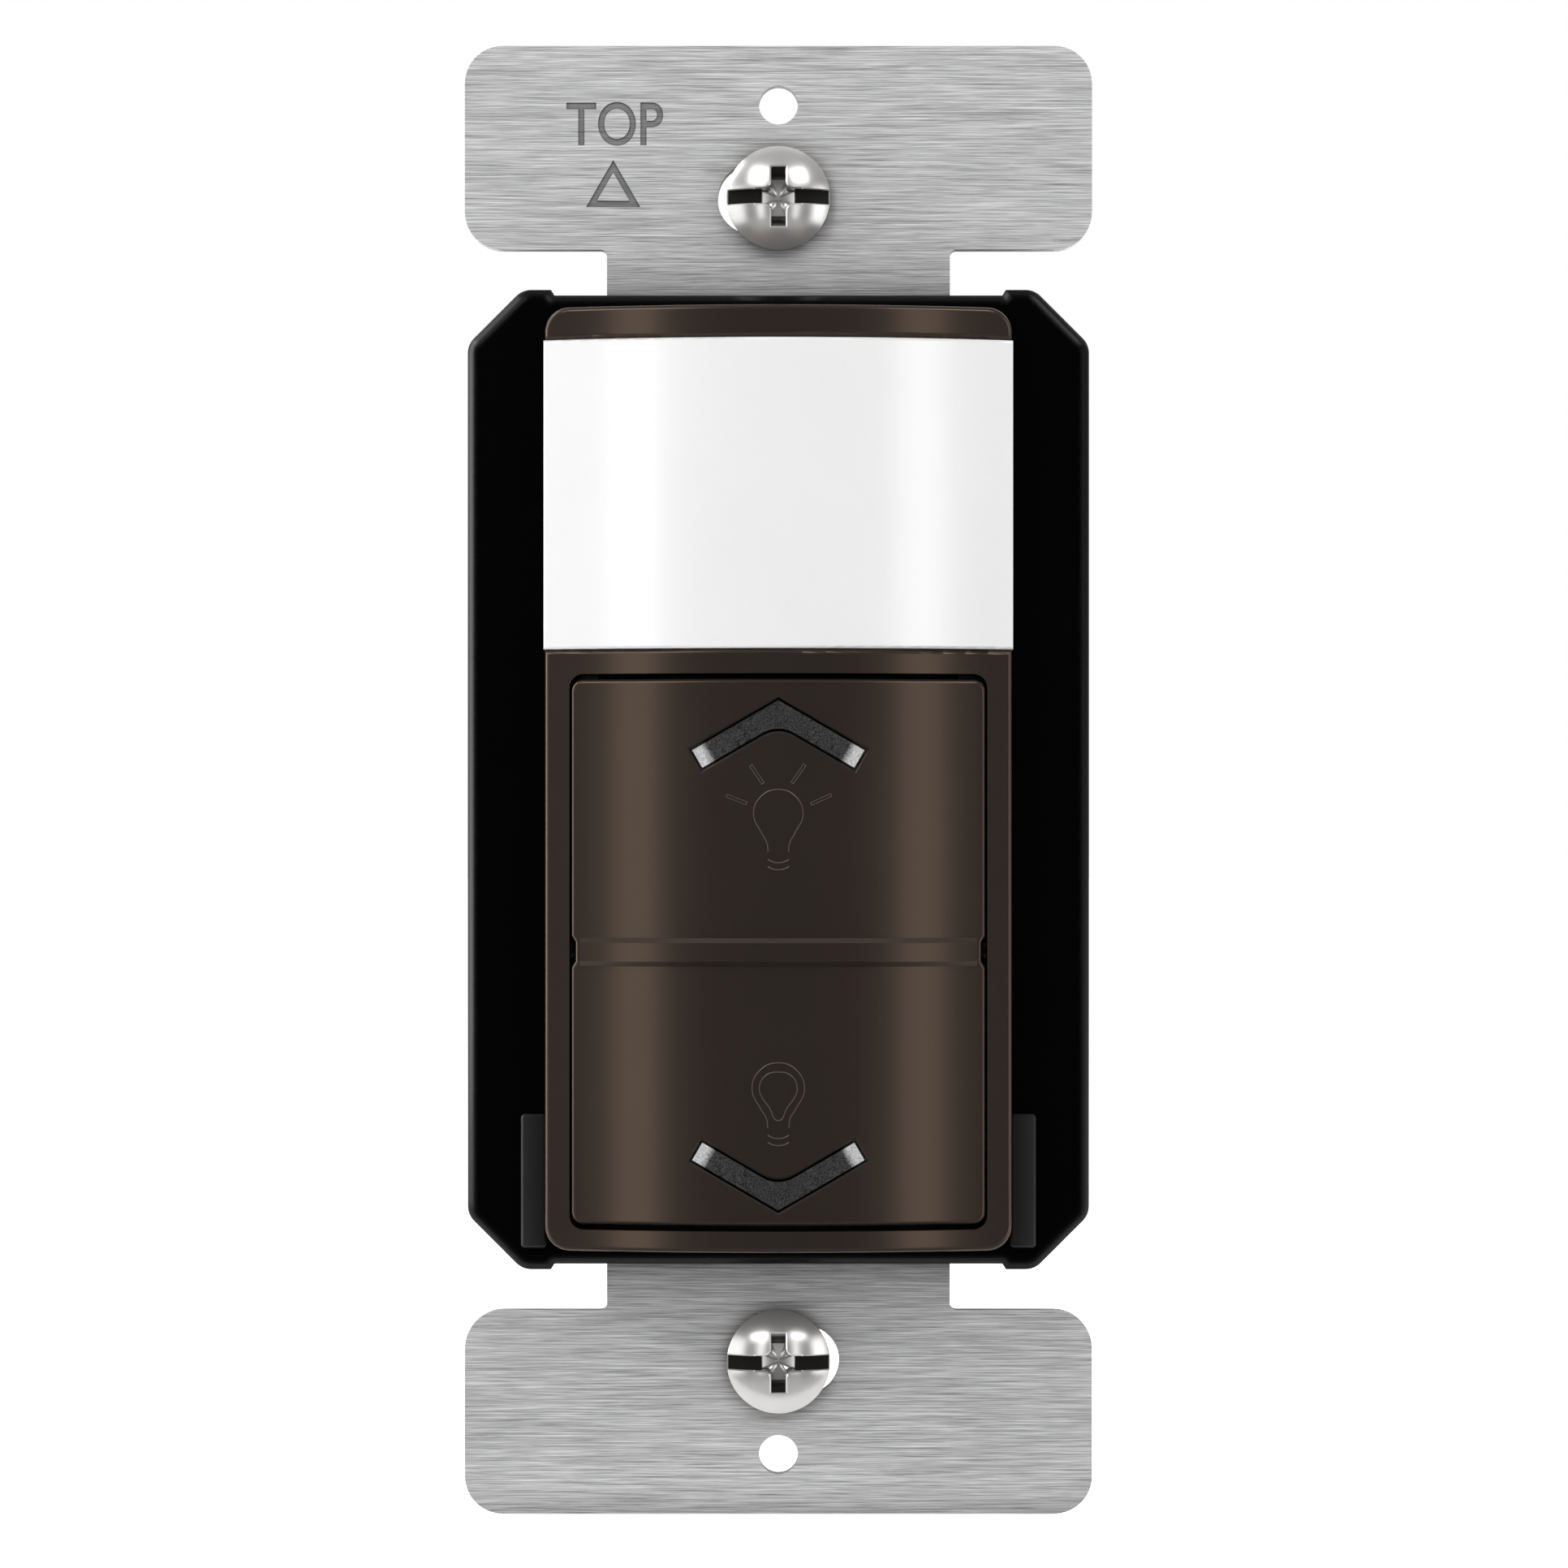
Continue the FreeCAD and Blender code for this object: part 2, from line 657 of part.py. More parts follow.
def front_cover():
    """Black moulding that carries the face in front and clamps the strap's core behind."""
    body = new_body("front_cover")
    rim = new_sketch(body, "Flange", "XZ_Plane")
    outline(rim, cover_corners())
    plate = pad(body, rim, "cover_front", "Plate")
    dress(body, "Chamfer", plate, lambda e: e.BoundBox.YMax < number_of("0.01 - cover_front"),
          "cover_edge_bevel", "FrontBevel")

    seat = new_sketch(body, "StrapSeat", "XZ_Plane", "strap_thick")
    half_core, half_neck = "(core_width / 2 + strap_clearance)", "(neck_width / 2 + strap_clearance)"
    core_top, past = "(core_height / 2 + strap_clearance)", "(cover_height / 2 + 1)"
    quarter = [(half_core, core_top), (half_neck, core_top), (half_neck, past)]
    outline(seat, mirrored_down(mirrored_left(quarter)))
    pocket(body, seat, "strap_thick", "StrapRecess")

    opening = new_sketch(body, "Opening", "XZ_Plane", "cover_front")
    box_outline(opening, "0 - cover_opening_width / 2", f"{OPENING_FOOT} - opening_end_margin",
                "cover_opening_width / 2", f"{LENS_TOP} - core_end_inset / 2", "opening_round")
    pocket(body, opening, "cover_front", "FaceOpening")

    posts = new_sketch(body, "Posts", "XZ_Plane", "0 - post_depth")
    pilots = new_sketch(body, "Pilots", "XZ_Plane", "cover_front - pilot_end_wall")
    for side_x, side_z in CORNERS:
        spot = (f"0 {side_x} post_span_x / 2", f"0 {side_z} post_span_z / 2")
        circle(posts, *spot, "post_radius")
        circle(pilots, *spot, "pilot_radius")
    pad(body, posts, "post_depth + strap_thick", "ScrewPosts")
    pocket(body, pilots, "cover_front - pilot_end_wall + post_depth", "PilotHoles")

    sockets = new_sketch(body, "PegSockets", "XZ_Plane", "cover_front")
    for spot in peg_places():
        circle(sockets, *spot, "peg_radius + peg_clearance")
    for side in ("-", "+"):
        middle_x, middle_z = latch_middle(side)
        box_outline(sockets, f"{middle_x} - latch_stem_width / 2", f"{middle_z} - latch_stem_height / 2",
                    f"{middle_x} + latch_stem_width / 2", f"{middle_z} + latch_stem_height / 2")
    pocket(body, sockets, "peg_length + peg_clearance", "FaceSockets")
    return body


def peg_places():
    """Where the bezel's four pegs stand, in the middle of its side rails."""
    x = "((bezel_width / 2 + opening_width / 2) / 2)"
    upper, lower = LENS_Z, f"({OPENING_FOOT} + peg_rise)"
    return [(f"0 {side} {x}", z) for side in ("-", "+") for z in (upper, lower)]


def latch_middle(side):
    x = f"(0 {side} (bezel_width / 2 + latch_width / 2 + latch_gap))"
    return x, "(0 - bezel_height / 2 + latch_drop / 2)"


def bezel():
    """Brown face frame: rails and bars under one crown, open for the rocker, stepped for the lens."""
    body = new_body("bezel")
    section = new_sketch(body, "Section", "XY_Plane", "0 - bezel_height / 2")
    crowned_outline(section, "(bezel_width / 2)", "cover_front", "crown_depth", "crown_radius")
    pad(body, section, "bezel_height", "Block")

    past = "(crown_depth + 1)"
    corners = new_sketch(body, "Corners", "XZ_Plane", past)
    box_outline(corners, "0 - bezel_width / 2 - 3", "0 - bezel_height / 2 - 3",
                "bezel_width / 2 + 3", "bezel_height / 2 + 3")
    box_outline(corners, "0 - bezel_width / 2", "0 - bezel_height / 2",
                "bezel_width / 2", "bezel_height / 2", "bezel_corner_round")
    pocket(body, corners, f"{past} - cover_front", "RoundCorners")

    lens_step = new_sketch(body, "LensStep", "XZ_Plane", past)
    box_outline(lens_step, "0 - bezel_width / 2 - 1", LENS_FOOT, "bezel_width / 2 + 1", LENS_TOP)
    step = pocket(body, lens_step, f"{past} - rail_seat_depth", "LensSeat")
    rounded = dress(body, "Fillet", step, outer_front_edge, "bezel_edge_round", "SoftEdges")

    window = new_sketch(body, "RockerOpening", "XZ_Plane", past)
    box_outline(window, "0 - opening_width / 2", OPENING_FOOT, "opening_width / 2", OPENING_TOP,
                "opening_round")
    box_outline(window, "0 - opening_width / 2", f"{LENS_FOOT}", "opening_width / 2", LENS_TOP)
    pocket(body, window, past, "Openings")

    # seats for the rocker's pins, open at the back so that the pins drop in from behind
    for side, inner in (("-", "(0 - opening_width / 2)"), ("+", "(opening_width / 2 + pin_reach)")):
        word = "Left" if side == "-" else "Right"
        seat = new_sketch(body, f"{word}PinSeat", "YZ_Plane", inner)
        half = "(pin_radius + pin_clearance)"
        outline(seat, [
            (f"0 - pin_depth - {half}", f"{PIVOT_Z} - {half}", "pin_radius"),
            ("1 - cover_front", f"{PIVOT_Z} - {half}"),
            ("1 - cover_front", f"{PIVOT_Z} + {half}"),
            (f"0 - pin_depth - {half}", f"{PIVOT_Z} + {half}", "pin_radius"),
        ])
        pocket(body, seat, "pin_reach", f"{word}PinSlot")

    pegs = new_sketch(body, "Pegs", "XZ_Plane", "cover_front - peg_length")
    for spot in peg_places():
        circle(pegs, *spot, "peg_radius")
    pad(body, pegs, "peg_length", "LocatingPegs")
    return body


def outer_front_edge(edge):
    """True for the edges between the crown and the outer sides of the bezel's end blocks."""
    box = edge.BoundBox
    seat = number_of("0 - rail_seat_depth - 0.05")
    return box.YMax < seat and not straight_in_depth(edge)


def straight_in_depth(edge):
    box = edge.BoundBox
    return box.XLength < 0.01 and box.ZLength < 0.01


def sensor_lens():
    """White polyethylene shell with the crown of the face, open behind, on four legs."""
    body = new_body("sensor_lens")
    half = "(bezel_width / 2 + lens_overhang)"
    outer = new_sketch(body, "Outside", "XY_Plane", f"{LENS_FOOT} + lens_gap")
    crowned_outline(outer, half, "rail_seat_depth", "(crown_depth + lens_proud)", "(crown_radius + lens_proud)")
    shell = pad(body, outer, "lens_zone - 2 * lens_gap", "Skin")
    dress(body, "Fillet", shell,
          lambda e: e.BoundBox.YMax < number_of("0 - rail_seat_depth - 0.05") and not straight_in_depth(e),
          "lens_edge_round", "SoftEdges")

    hollow = new_sketch(body, "Inside", "XY_Plane", f"{LENS_TOP} - lens_gap - lens_wall")
    crowned_outline(hollow, f"({half} - lens_wall)", "(rail_seat_depth - 1)",
                    "(crown_depth + lens_proud - lens_wall)", "(crown_radius + lens_proud - lens_wall)")
    pocket(body, hollow, "lens_zone - 2 * lens_gap - 2 * lens_wall", "Hollow")

    legs = new_sketch(body, "Legs", "XZ_Plane", "cover_front + lens_leg_gap")
    outer_face = "(opening_width / 2 - lens_leg_gap)"
    inner_face = "(opening_width / 2 - lens_leg_gap - lens_leg_thick)"
    for side_z in ("-", "+"):
        foot = f"({LENS_Z} {side_z} lens_zone / 4 - lens_leg_width / 2)"
        for low, high in ((f"0 - {outer_face}", f"0 - {inner_face}"), (inner_face, outer_face)):
            box_outline(legs, low, foot, high, f"{foot} + lens_leg_width")
    pad(body, legs, "lens_leg_reach", "SnapLegs")
    return body


def chevron_outline(sketch, tip, side, grow="0"):
    """An arrowhead of two arms. The tip points up where side is +, and down where it is -."""
    turn, back = ("-", "+") if side == "+" else ("+", "-")
    # growing the outline by a gap moves each edge out by that gap
    arm = f"(chevron_arm + 2 * ({grow}))"
    span = f"(chevron_half_span + ({grow}) * (cos(chevron_angle) + sin(chevron_angle)))"
    peak = f"({tip} {back} ({grow}) / cos(chevron_angle))"
    fall = f"({span} * tan(chevron_angle))"
    inner_x = f"({span} - {arm} * sin(chevron_angle))"
    inner_fall = f"({fall} + {arm} * cos(chevron_angle))"
    notch = f"({arm} / cos(chevron_angle))"
    outline(sketch, [
        ("0", peak),
        (f"0 - {span}", f"{peak} {turn} {fall}"),
        (f"0 - {inner_x}", f"{peak} {turn} {inner_fall}"),
        ("0", f"{peak} {turn} {notch}", "chevron_inner_round"),
        (inner_x, f"{peak} {turn} {inner_fall}"),
        (span, f"{peak} {turn} {fall}"),
    ])


CHEVRONS = {
    "up": (f"({ROCKER_TOP} - chevron_inset_top)", "+"),
    "down": (f"({ROCKER_FOOT} + chevron_inset_bottom)", "-"),
}


def guide_middle(which):
    tip, side = CHEVRONS[which]
    turn = "-" if side == "+" else "+"
    return f"({tip} {turn} (guide_height / 2 - guide_end_margin / 2))"


def rocker():
    """Brown paddle: a shell with the crown of the face, a ridge across its middle and two pins."""
    body = new_body("rocker")
    section = new_sketch(body, "Section", "XY_Plane", ROCKER_FOOT)
    crowned_outline(section, "rocker_half", "rocker_back_depth", "crown_depth", "crown_radius")
    pad(body, section, "rocker_height", "Block")

    past = "(crown_depth + 2)"
    corners = new_sketch(body, "Corners", "XZ_Plane", past)
    box_outline(corners, "0 - rocker_half - 3", f"{ROCKER_FOOT} - 3",
                "rocker_half + 3", f"{ROCKER_TOP} + 3")
    box_outline(corners, "0 - rocker_half", ROCKER_FOOT, "rocker_half", ROCKER_TOP, "rocker_round")
    pocket(body, corners, past, "RoundCorners")

    notches = new_sketch(body, "Notches", "XZ_Plane", past)
    half_notch, half_mouth = "(notch_height / 2)", "(notch_height / 2 + notch_ramp)"
    floor = "(rocker_half - notch_depth)"
    edge = "(rocker_half + 1)"
    slope = "(notch_ramp * (1 + 1 / notch_depth))"
    right = [
        (edge, f"{PIVOT_Z} - {half_notch} - {slope}"),
        (edge, f"{PIVOT_Z} + {half_notch} + {slope}"),
        (floor, f"{PIVOT_Z} + {half_notch}"),
        (floor, f"{PIVOT_Z} - {half_notch}"),
    ]
    outline(notches, right)
    outline(notches, [(f"0 - {x}", z) for x, z in reversed(right)])
    finger = pocket(body, notches, past, "FingerNotches")
    soft = dress(body, "Fillet", finger, rocker_rim, "rocker_edge_round", "SoftRim")

    ridge = new_sketch(body, "Ridge", "XY_Plane", f"{PIVOT_Z} - ridge_height / 2")
    crowned_outline(ridge, f"({floor} - rocker_edge_round)", "(crown_depth - 4)",
                    "(crown_depth + ridge_rise)", "(crown_radius + ridge_rise)")
    raised = pad(body, ridge, "ridge_height", "RaisedRidge")
    dress(body, "Chamfer", raised, ridge_crest, "ridge_bevel", "RidgeBevel")

    hollow = new_sketch(body, "Inside", "XY_Plane", f"{ROCKER_TOP} - rocker_end_wall")
    crowned_outline(hollow, "(rocker_half - rocker_side_wall)", "(rocker_back_depth - 1)",
                    "(crown_depth - rocker_skin)", "(crown_radius - rocker_skin)")
    pocket(body, hollow, "rocker_height - 2 * rocker_end_wall", "Hollow")

    windows = new_sketch(body, "ChevronWindows", "XZ_Plane", past)
    for tip, side in CHEVRONS.values():
        chevron_outline(windows, tip, side, "chevron_gap")
    opened = pocket(body, windows, f"{past} - (crown_depth - rocker_skin - guide_plate_thick)", "Windows")
    dress(body, "Chamfer", opened, window_rim, "chevron_bevel", "WindowBevel")

    for start, word in (("(0 - rocker_half - pin_reach)", "LeftPin"),
                        ("(rocker_half - rocker_side_wall / 2)", "RightPin")):
        pin = new_sketch(body, f"{word}Circle", "YZ_Plane", start)
        circle(pin, "0 - pin_depth", PIVOT_Z, "pin_radius")
        pad(body, pin, "pin_reach + rocker_side_wall / 2", word)

    feet = new_sketch(body, "Feet", "XZ_Plane", "plunger_top + foot_gap")
    for side in ("-", "+"):
        middle = f"({PIVOT_Z} {side} foot_offset)"
        box_outline(feet, "0 - foot_width / 2", f"{middle} - foot_thick / 2",
                    "foot_width / 2", f"{middle} + foot_thick / 2")
    pad(body, feet, "crown_depth - rocker_skin / 2 - plunger_top - foot_gap", "PressFeet")
    return body


def rocker_rim(edge):
    """The rim of the paddle's front, apart from the corners of its finger notches."""
    box = edge.BoundBox
    front = box.YMax < number_of("0 - rocker_back_depth - 0.05")
    return front and not straight_in_depth(edge)


def window_rim(edge):
    """The front rims of the two chevron windows."""
    box = edge.BoundBox
    if box.YMax > number_of("rocker_skin / 2 - crown_depth") or straight_in_depth(edge):
        return False
    reach = number_of("chevron_half_span + 2 * chevron_gap + 0.5")
    for low, high in ((f"{ROCKER_TOP} - chevron_inset_top - guide_height - 1", f"{ROCKER_TOP} - chevron_inset_top / 2"),
                      (f"{ROCKER_FOOT} + chevron_inset_bottom / 2",
                       f"{ROCKER_FOOT} + chevron_inset_bottom + guide_height + 1")):
        if box.ZMin > number_of(low) and box.ZMax < number_of(high):
            return box.XMin > -reach and box.XMax < reach
    return False


def ridge_crest(edge):
    box = edge.BoundBox
    crest = abs(box.YMin + number_of("crown_depth + ridge_rise")) < 0.01
    return crest and box.ZLength < 0.01 and box.XLength > number_of("bezel_width / 2")


def light_guide(which):
    """Grey translucent guide: a plate behind the rocker's skin, the arrowhead, and a leg to its lamp."""
    tip, side = CHEVRONS[which]
    body = new_body(f"chevron_{which}")
    plate_back = "(crown_depth - rocker_skin - guide_plate_drop - guide_plate_thick)"
    middle = guide_middle(which)
    plate = new_sketch(body, "Plate", "XZ_Plane", plate_back)
    box_outline(plate, "0 - guide_plate_width / 2", f"{middle} - guide_height / 2",
                "guide_plate_width / 2", f"{middle} + guide_height / 2", "guide_margin")
    pad(body, plate, "guide_plate_thick", "BackPlate")

    head = new_sketch(body, "Arrowhead", "XZ_Plane", plate_back)
    chevron_outline(head, tip, side)
    pad(body, head, f"crown_depth + 1 - {plate_back}", "Head")
    face = new_sketch(body, "Face", "XY_Plane", f"{middle} + guide_height")
    crowned_outline(face, "(guide_plate_width / 2 + 1)", "(crown_depth + 3)",
                    "(crown_depth - chevron_sunk)", "(crown_radius - chevron_sunk)")
    pocket(body, face, "guide_height * 2", "CrownedFace")

    leg = new_sketch(body, "Leg", "XZ_Plane", "guide_leg_end")
    box_outline(leg, "0 - guide_leg / 2", f"{middle} - guide_leg / 2", "guide_leg / 2",
                f"{middle} + guide_leg / 2")
    pad(body, leg, f"{plate_back} + guide_plate_thick / 2 - guide_leg_end", "LightLeg")
    return body


def latch(which, side):
    """Dark grey nylon block pressed into the cover, which keeps the foot of the bezel in line."""
    body = new_body(f"latch_{which}")
    middle_x, middle_z = latch_middle(side)
    block_outline = new_sketch(body, "Block", "XZ_Plane", "cover_front")
    box_outline(block_outline, f"{middle_x} - latch_width / 2", f"{middle_z} - latch_height / 2",
                f"{middle_x} + latch_width / 2", f"{middle_z} + latch_height / 2", "latch_round")
    top = pad(body, block_outline, "latch_rise", "Head")
    dress(body, "Chamfer", top, lambda e: e.BoundBox.YMax < number_of("0.01 - cover_front - latch_rise"),
          "latch_bevel", "SoftEdge")
    stem = new_sketch(body, "Stem", "XZ_Plane", "cover_front - peg_length")
    half_width = "(latch_stem_width / 2 - peg_clearance)"
    half_height = "(latch_stem_height / 2 - peg_clearance)"
    box_outline(stem, f"{middle_x} - {half_width}", f"{middle_z} - {half_height}",
                f"{middle_x} + {half_width}", f"{middle_z} + {half_height}")
    pad(body, stem, "peg_length", "StemPad")
    return body


def box_screw(which, side):
    """Machine screw with a domed head that takes a flat or a cross driver, turned then upset."""
    body = new_body(f"mounting_screw_{which}")
    profile = new_sketch(body, "Profile", "XY_Plane")
    tip = "(screw_length - strap_thick)"
    under = "(0 - strap_thick)"
    rim = "(0 - strap_thick - screw_head_rim)"
    crown = "(0 - strap_thick - screw_head_height)"
    rise = "(screw_head_height - screw_head_rim)"
    dome = f"((screw_head_radius * screw_head_radius + {rise} * {rise}) / (2 * {rise}))"
    corners = [
        ("0", crown), ("0", tip), ("thread_radius - screw_tip_bevel", tip),
        ("thread_radius", f"{tip} - screw_tip_bevel"),
        ("thread_radius", "screw_neck_length"), ("screw_neck_radius", "screw_neck_length"),
        ("screw_neck_radius", under), ("screw_head_radius", under), ("screw_head_radius", rim),
    ]
    points = [Vector(number_of(x), number_of(y), 0) for x, y in corners]
    for i in range(len(points) - 1):
        profile.addGeometry(Part.LineSegment(points[i], points[i + 1]))
    last = len(points) - 2
    for i, (x, y) in enumerate(corners[:-1]):
        fix_point(profile, i, 1, x, y)
    for i in range(last):
        profile.addConstraint(Sketcher.Constraint("Coincident", i, 2, i + 1, 1))
    fix_point(profile, last, 2, *corners[-1])
    centre = number_of(f"{crown} + {dome}")
    around = Part.Circle(Vector(0, centre, 0), Vector(0, 0, 1), number_of(dome))
    edge = math.atan2(points[-1].y - centre, points[-1].x)
    arc = profile.addGeometry(Part.ArcOfCircle(around, -math.pi / 2, edge))
    profile.addConstraint(Sketcher.Constraint("Coincident", arc, 1, 0, 1))
    profile.addConstraint(Sketcher.Constraint("Coincident", arc, 2, last, 2))
    fix(profile, "DistanceX", (-1, 1, arc, 3), "0")
    turned(body, profile, "Turned")

    top = "(strap_thick + screw_head_height + 0.1)"
    flat = new_sketch(body, "FlatSlot", "XZ_Plane", top)
    box_outline(flat, "0 - screw_head_radius - 1", "0 - drive_slot / 2", "screw_head_radius + 1", "drive_slot / 2")
    pocket(body, flat, "drive_slot_depth + 0.1", "DriveSlot")
    cross = new_sketch(body, "Cross", "XZ_Plane", top)
    arm, reach = "(cross_width / 2)", "(cross_span / 2)"
    quarter = [(reach, f"0 - {arm}"), (reach, arm), (arm, arm)]
    arms = list(quarter)
    for _ in range(3):
        quarter = [(f"0 - ({z})", x) for x, z in quarter]
        arms += quarter
    outline(cross, arms)
    recess = pocket(body, cross, "cross_depth + 0.1", "DriveCross")
    recess.TaperAngle = -9
    place(body, z=f"0 {side} screw_spacing / 2")
    return body


def retainer(which, side):
    """Nylon washer pressed over the screw's neck behind the strap, so that the screw can't fall out."""
    middle = f"0 {side} screw_spacing / 2"
    ring = rod(f"retainer_{which}_disc", "retainer_radius", "0", middle, "0 - retainer_thick", "0")
    hole = rod(f"retainer_{which}_hole", "screw_neck_radius + retainer_clearance", "0", middle,
               "0 - retainer_thick - 1", "1")
    return cut(f"screw_retainer_{which}", ring, [hole])


def rear_housing():
    """Black moulded box: wire channels at its sides, screw bosses in its corners, board pillars inside."""
    body = new_body("rear_housing")
    half_width, half_height = "(housing_width / 2)", "(housing_height / 2)"
    outside = new_sketch(body, "Outside", "XZ_Plane", "0 - housing_depth")
    box_outline(outside, f"0 - {half_width}", f"0 - {half_height}", half_width, half_height, "housing_round")
    solid = pad(body, outside, "housing_depth", "Box")
    dress(body, "Chamfer", solid, lambda e: e.BoundBox.YMin > number_of("housing_depth - 0.01"),
          "housing_bevel", "BackBevel")

    inside = new_sketch(body, "Inside", "XZ_Plane")
    wall_x, wall_z = "(housing_width / 2 - housing_wall)", "(housing_height / 2 - housing_wall)"
    step_x = "(channel_floor - channel_wall)"
    near = "(channel_pitch / 2 - channel_height / 2 - channel_wall)"
    far = "(channel_pitch / 2 + channel_height / 2 + channel_wall)"
    quarter = [(wall_x, near), (step_x, near), (step_x, far), (wall_x, far), (wall_x, wall_z)]
    outline(inside, mirrored_down(mirrored_left(quarter)))
    pocket(body, inside, "housing_depth - housing_wall", "Cavity")

    floor = "(0 - housing_depth + housing_wall)"
    bosses = new_sketch(body, "Bosses", "XZ_Plane", floor)
    shoulders = new_sketch(body, "Shoulders", "XZ_Plane", floor)
    pillars = new_sketch(body, "Pillars", "XZ_Plane", floor)
    holes = new_sketch(body, "CaseHoles", "XZ_Plane")
    sinks = new_sketch(body, "CaseSinks", "XZ_Plane", "0 - case_seat_depth")
    pilots = new_sketch(body, "PillarPilots", "XZ_Plane", "0 - front_board_depth - board_thick")
    for side_x, side_z in CORNERS:
        corner = (f"0 {side_x} post_span_x / 2", f"0 {side_z} post_span_z / 2")
        pillar = (f"0 {side_x} pillar_span_x / 2", f"0 {side_z} pillar_span_z / 2")
        circle(bosses, *corner, "boss_radius")
        circle(holes, *corner, "case_hole_radius")
        circle(sinks, *corner, "case_head_radius + head_clearance")
        circle(shoulders, *pillar, "shoulder_radius")
        circle(pillars, *pillar, "pillar_radius")
        circle(pilots, *pillar, "pillar_pilot_radius")
    pad(body, bosses, f"0 - {floor} - post_depth", "CornerBosses")
    pad(body, shoulders, f"0 - {floor} - power_board_depth - board_thick", "PillarShoulders")
    pad(body, pillars, f"0 - {floor} - front_board_depth - board_thick", "BoardPillars")
    pocket(body, holes, "housing_depth", "CaseScrewHoles")
    pocket(body, sinks, "housing_depth - case_seat_depth", "CaseCounterbores")
    pocket(body, pilots, "pillar_pilot_depth", "PillarPilotHoles")

    channels = new_sketch(body, "WireChannels", "XZ_Plane", "0 - channel_start")
    for side_x, side_z in LIVE_CHANNELS:
        channel_mouth(channels, side_x, side_z)
    pocket(body, channels, "housing_depth - channel_start", "WireChannelCuts")
    earth = new_sketch(body, "GroundChannel", "XZ_Plane")
    channel_mouth(earth, "-", "-")
    pocket(body, earth, "housing_depth", "GroundChannelCut")

    # slots that the terminals' lugs pass through, and room for the tips of their screws
    for side_x, side_z in LIVE_CHANNELS:
        word = ("Right" if side_x == "+" else "Left") + ("Upper" if side_z == "+" else "Lower")
        start = "(channel_floor + 0.1)" if side_x == "+" else "(0 - channel_floor + channel_wall + 0.1)"
        passage = new_sketch(body, f"{word}Passage", "YZ_Plane", start)
        middle = f"(0 {side_z} channel_pitch / 2)"
        box_outline(passage, "terminal_back - lug_thick - 0.1", f"{middle} - lug_width / 2 - 0.1",
                    "terminal_back + 0.1", f"{middle} + lug_width / 2 + 0.1")
        circle(passage, "terminal_screw_depth", middle, "terminal_screw_radius + 0.15")
        pocket(body, passage, "channel_wall + 0.2", f"{word}Passages")
    return body


def channel_mouth(sketch, side_x, side_z):
    floor, edge = "channel_floor", "(housing_width / 2 + 1)"
    low = f"(0 {side_z} channel_pitch / 2 - channel_height / 2)"
    high = f"(0 {side_z} channel_pitch / 2 + channel_height / 2)"
    if side_x == "+":
        box_outline(sketch, floor, low, edge, high)
    else:
        box_outline(sketch, f"0 - {edge}", low, f"0 - {floor}", high)


def case_screws():
    """Four pan head screws that hold housing, strap and cover together from the back."""
    pieces = []
    for side_x, side_z in CORNERS:
        tag = f"case_{len(pieces)}"
        spot = (f"0 {side_x} post_span_x / 2", f"0 {side_z} post_span_z / 2")
        seat = "(0 - case_seat_depth)"
        head = rod(f"{tag}_head", "case_head_radius", *spot, f"{seat} - case_head_height", seat)
        shank = rod(f"{tag}_shank", "case_screw_radius", *spot, seat, f"{seat} + case_screw_length")
        screw = fused(f"{tag}_screw", [head, shank])
        slot = block(f"{tag}_slot", f"{spot[0]} - case_head_radius", f"{spot[0]} + case_head_radius",
                     f"{seat} - case_head_height - 1", f"{seat} - case_head_height / 2",
                     f"{spot[1]} - case_slot_width / 2", f"{spot[1]} + case_slot_width / 2")
        pieces.append(cut(f"{tag}_cut", screw, [slot]))
    group = doc.addObject("Part::Compound", "case_screws")
    group.Links = pieces
    group.Label = "case_screws"
    return group


def board_screws():
    """Four small screws that hold the front board on its pillars."""
    pieces = []
    for side_x, side_z in CORNERS:
        tag = f"board_{len(pieces)}"
        spot = (f"0 {side_x} pillar_span_x / 2", f"0 {side_z} pillar_span_z / 2")
        head = rod(f"{tag}_head", "board_screw_head", *spot, BOARD_SURFACE,
                   f"{BOARD_SURFACE} + board_screw_rise")
        shank = rod(f"{tag}_shank", "board_screw_radius", *spot, f"{BOARD_SURFACE} - board_screw_length",
                    BOARD_SURFACE)
        pieces.append(fused(f"{tag}_screw", [head, shank]))
    group = doc.addObject("Part::Compound", "board_screws")
    group.Links = pieces
    group.Label = "board_screws"
    return group


def terminal(which, side_x, side_z):
    """Stamped plate under a binding screw, with a lug that turns back to the power board."""
    middle = f"(0 {side_z} channel_pitch / 2)"

    def span(low, high):
        return (low, high) if side_x == "+" else (f"(0 - {high})", f"(0 - {low})")

    face = "(channel_floor + terminal_plate)"
    plate = block(f"{which}_plate", *span("channel_floor", face), "0 - terminal_back", "0 - terminal_front",
                  f"{middle} - terminal_width / 2", f"{middle} + terminal_width / 2")
    lug_back = "(0 - terminal_back)"
    lug = block(f"{which}_lug", *span("lug_x", "channel_floor"), lug_back, f"{lug_back} + lug_thick",
                f"{middle} - lug_width / 2", f"{middle} + lug_width / 2")
    leg = block(f"{which}_leg", *span("lug_x", "(lug_x + lug_thick)"),
                f"{POWER_SURFACE} - board_thick - lug_thick", f"{lug_back} + lug_thick",
                f"{middle} - lug_width / 3", f"{middle} + lug_width / 3")
    hole = cross_rod(f"{which}_tapping", "terminal_screw_radius + 0.05", f"0 {side_x} channel_floor",
                     "0 - terminal_screw_depth", middle, "terminal_plate * 2 + 1", "terminal_plate / 2 + 0.5", side_x)
    return cut(f"{which}_terminal", fused(f"{which}_stamping", [plate, lug, leg]), [hole])


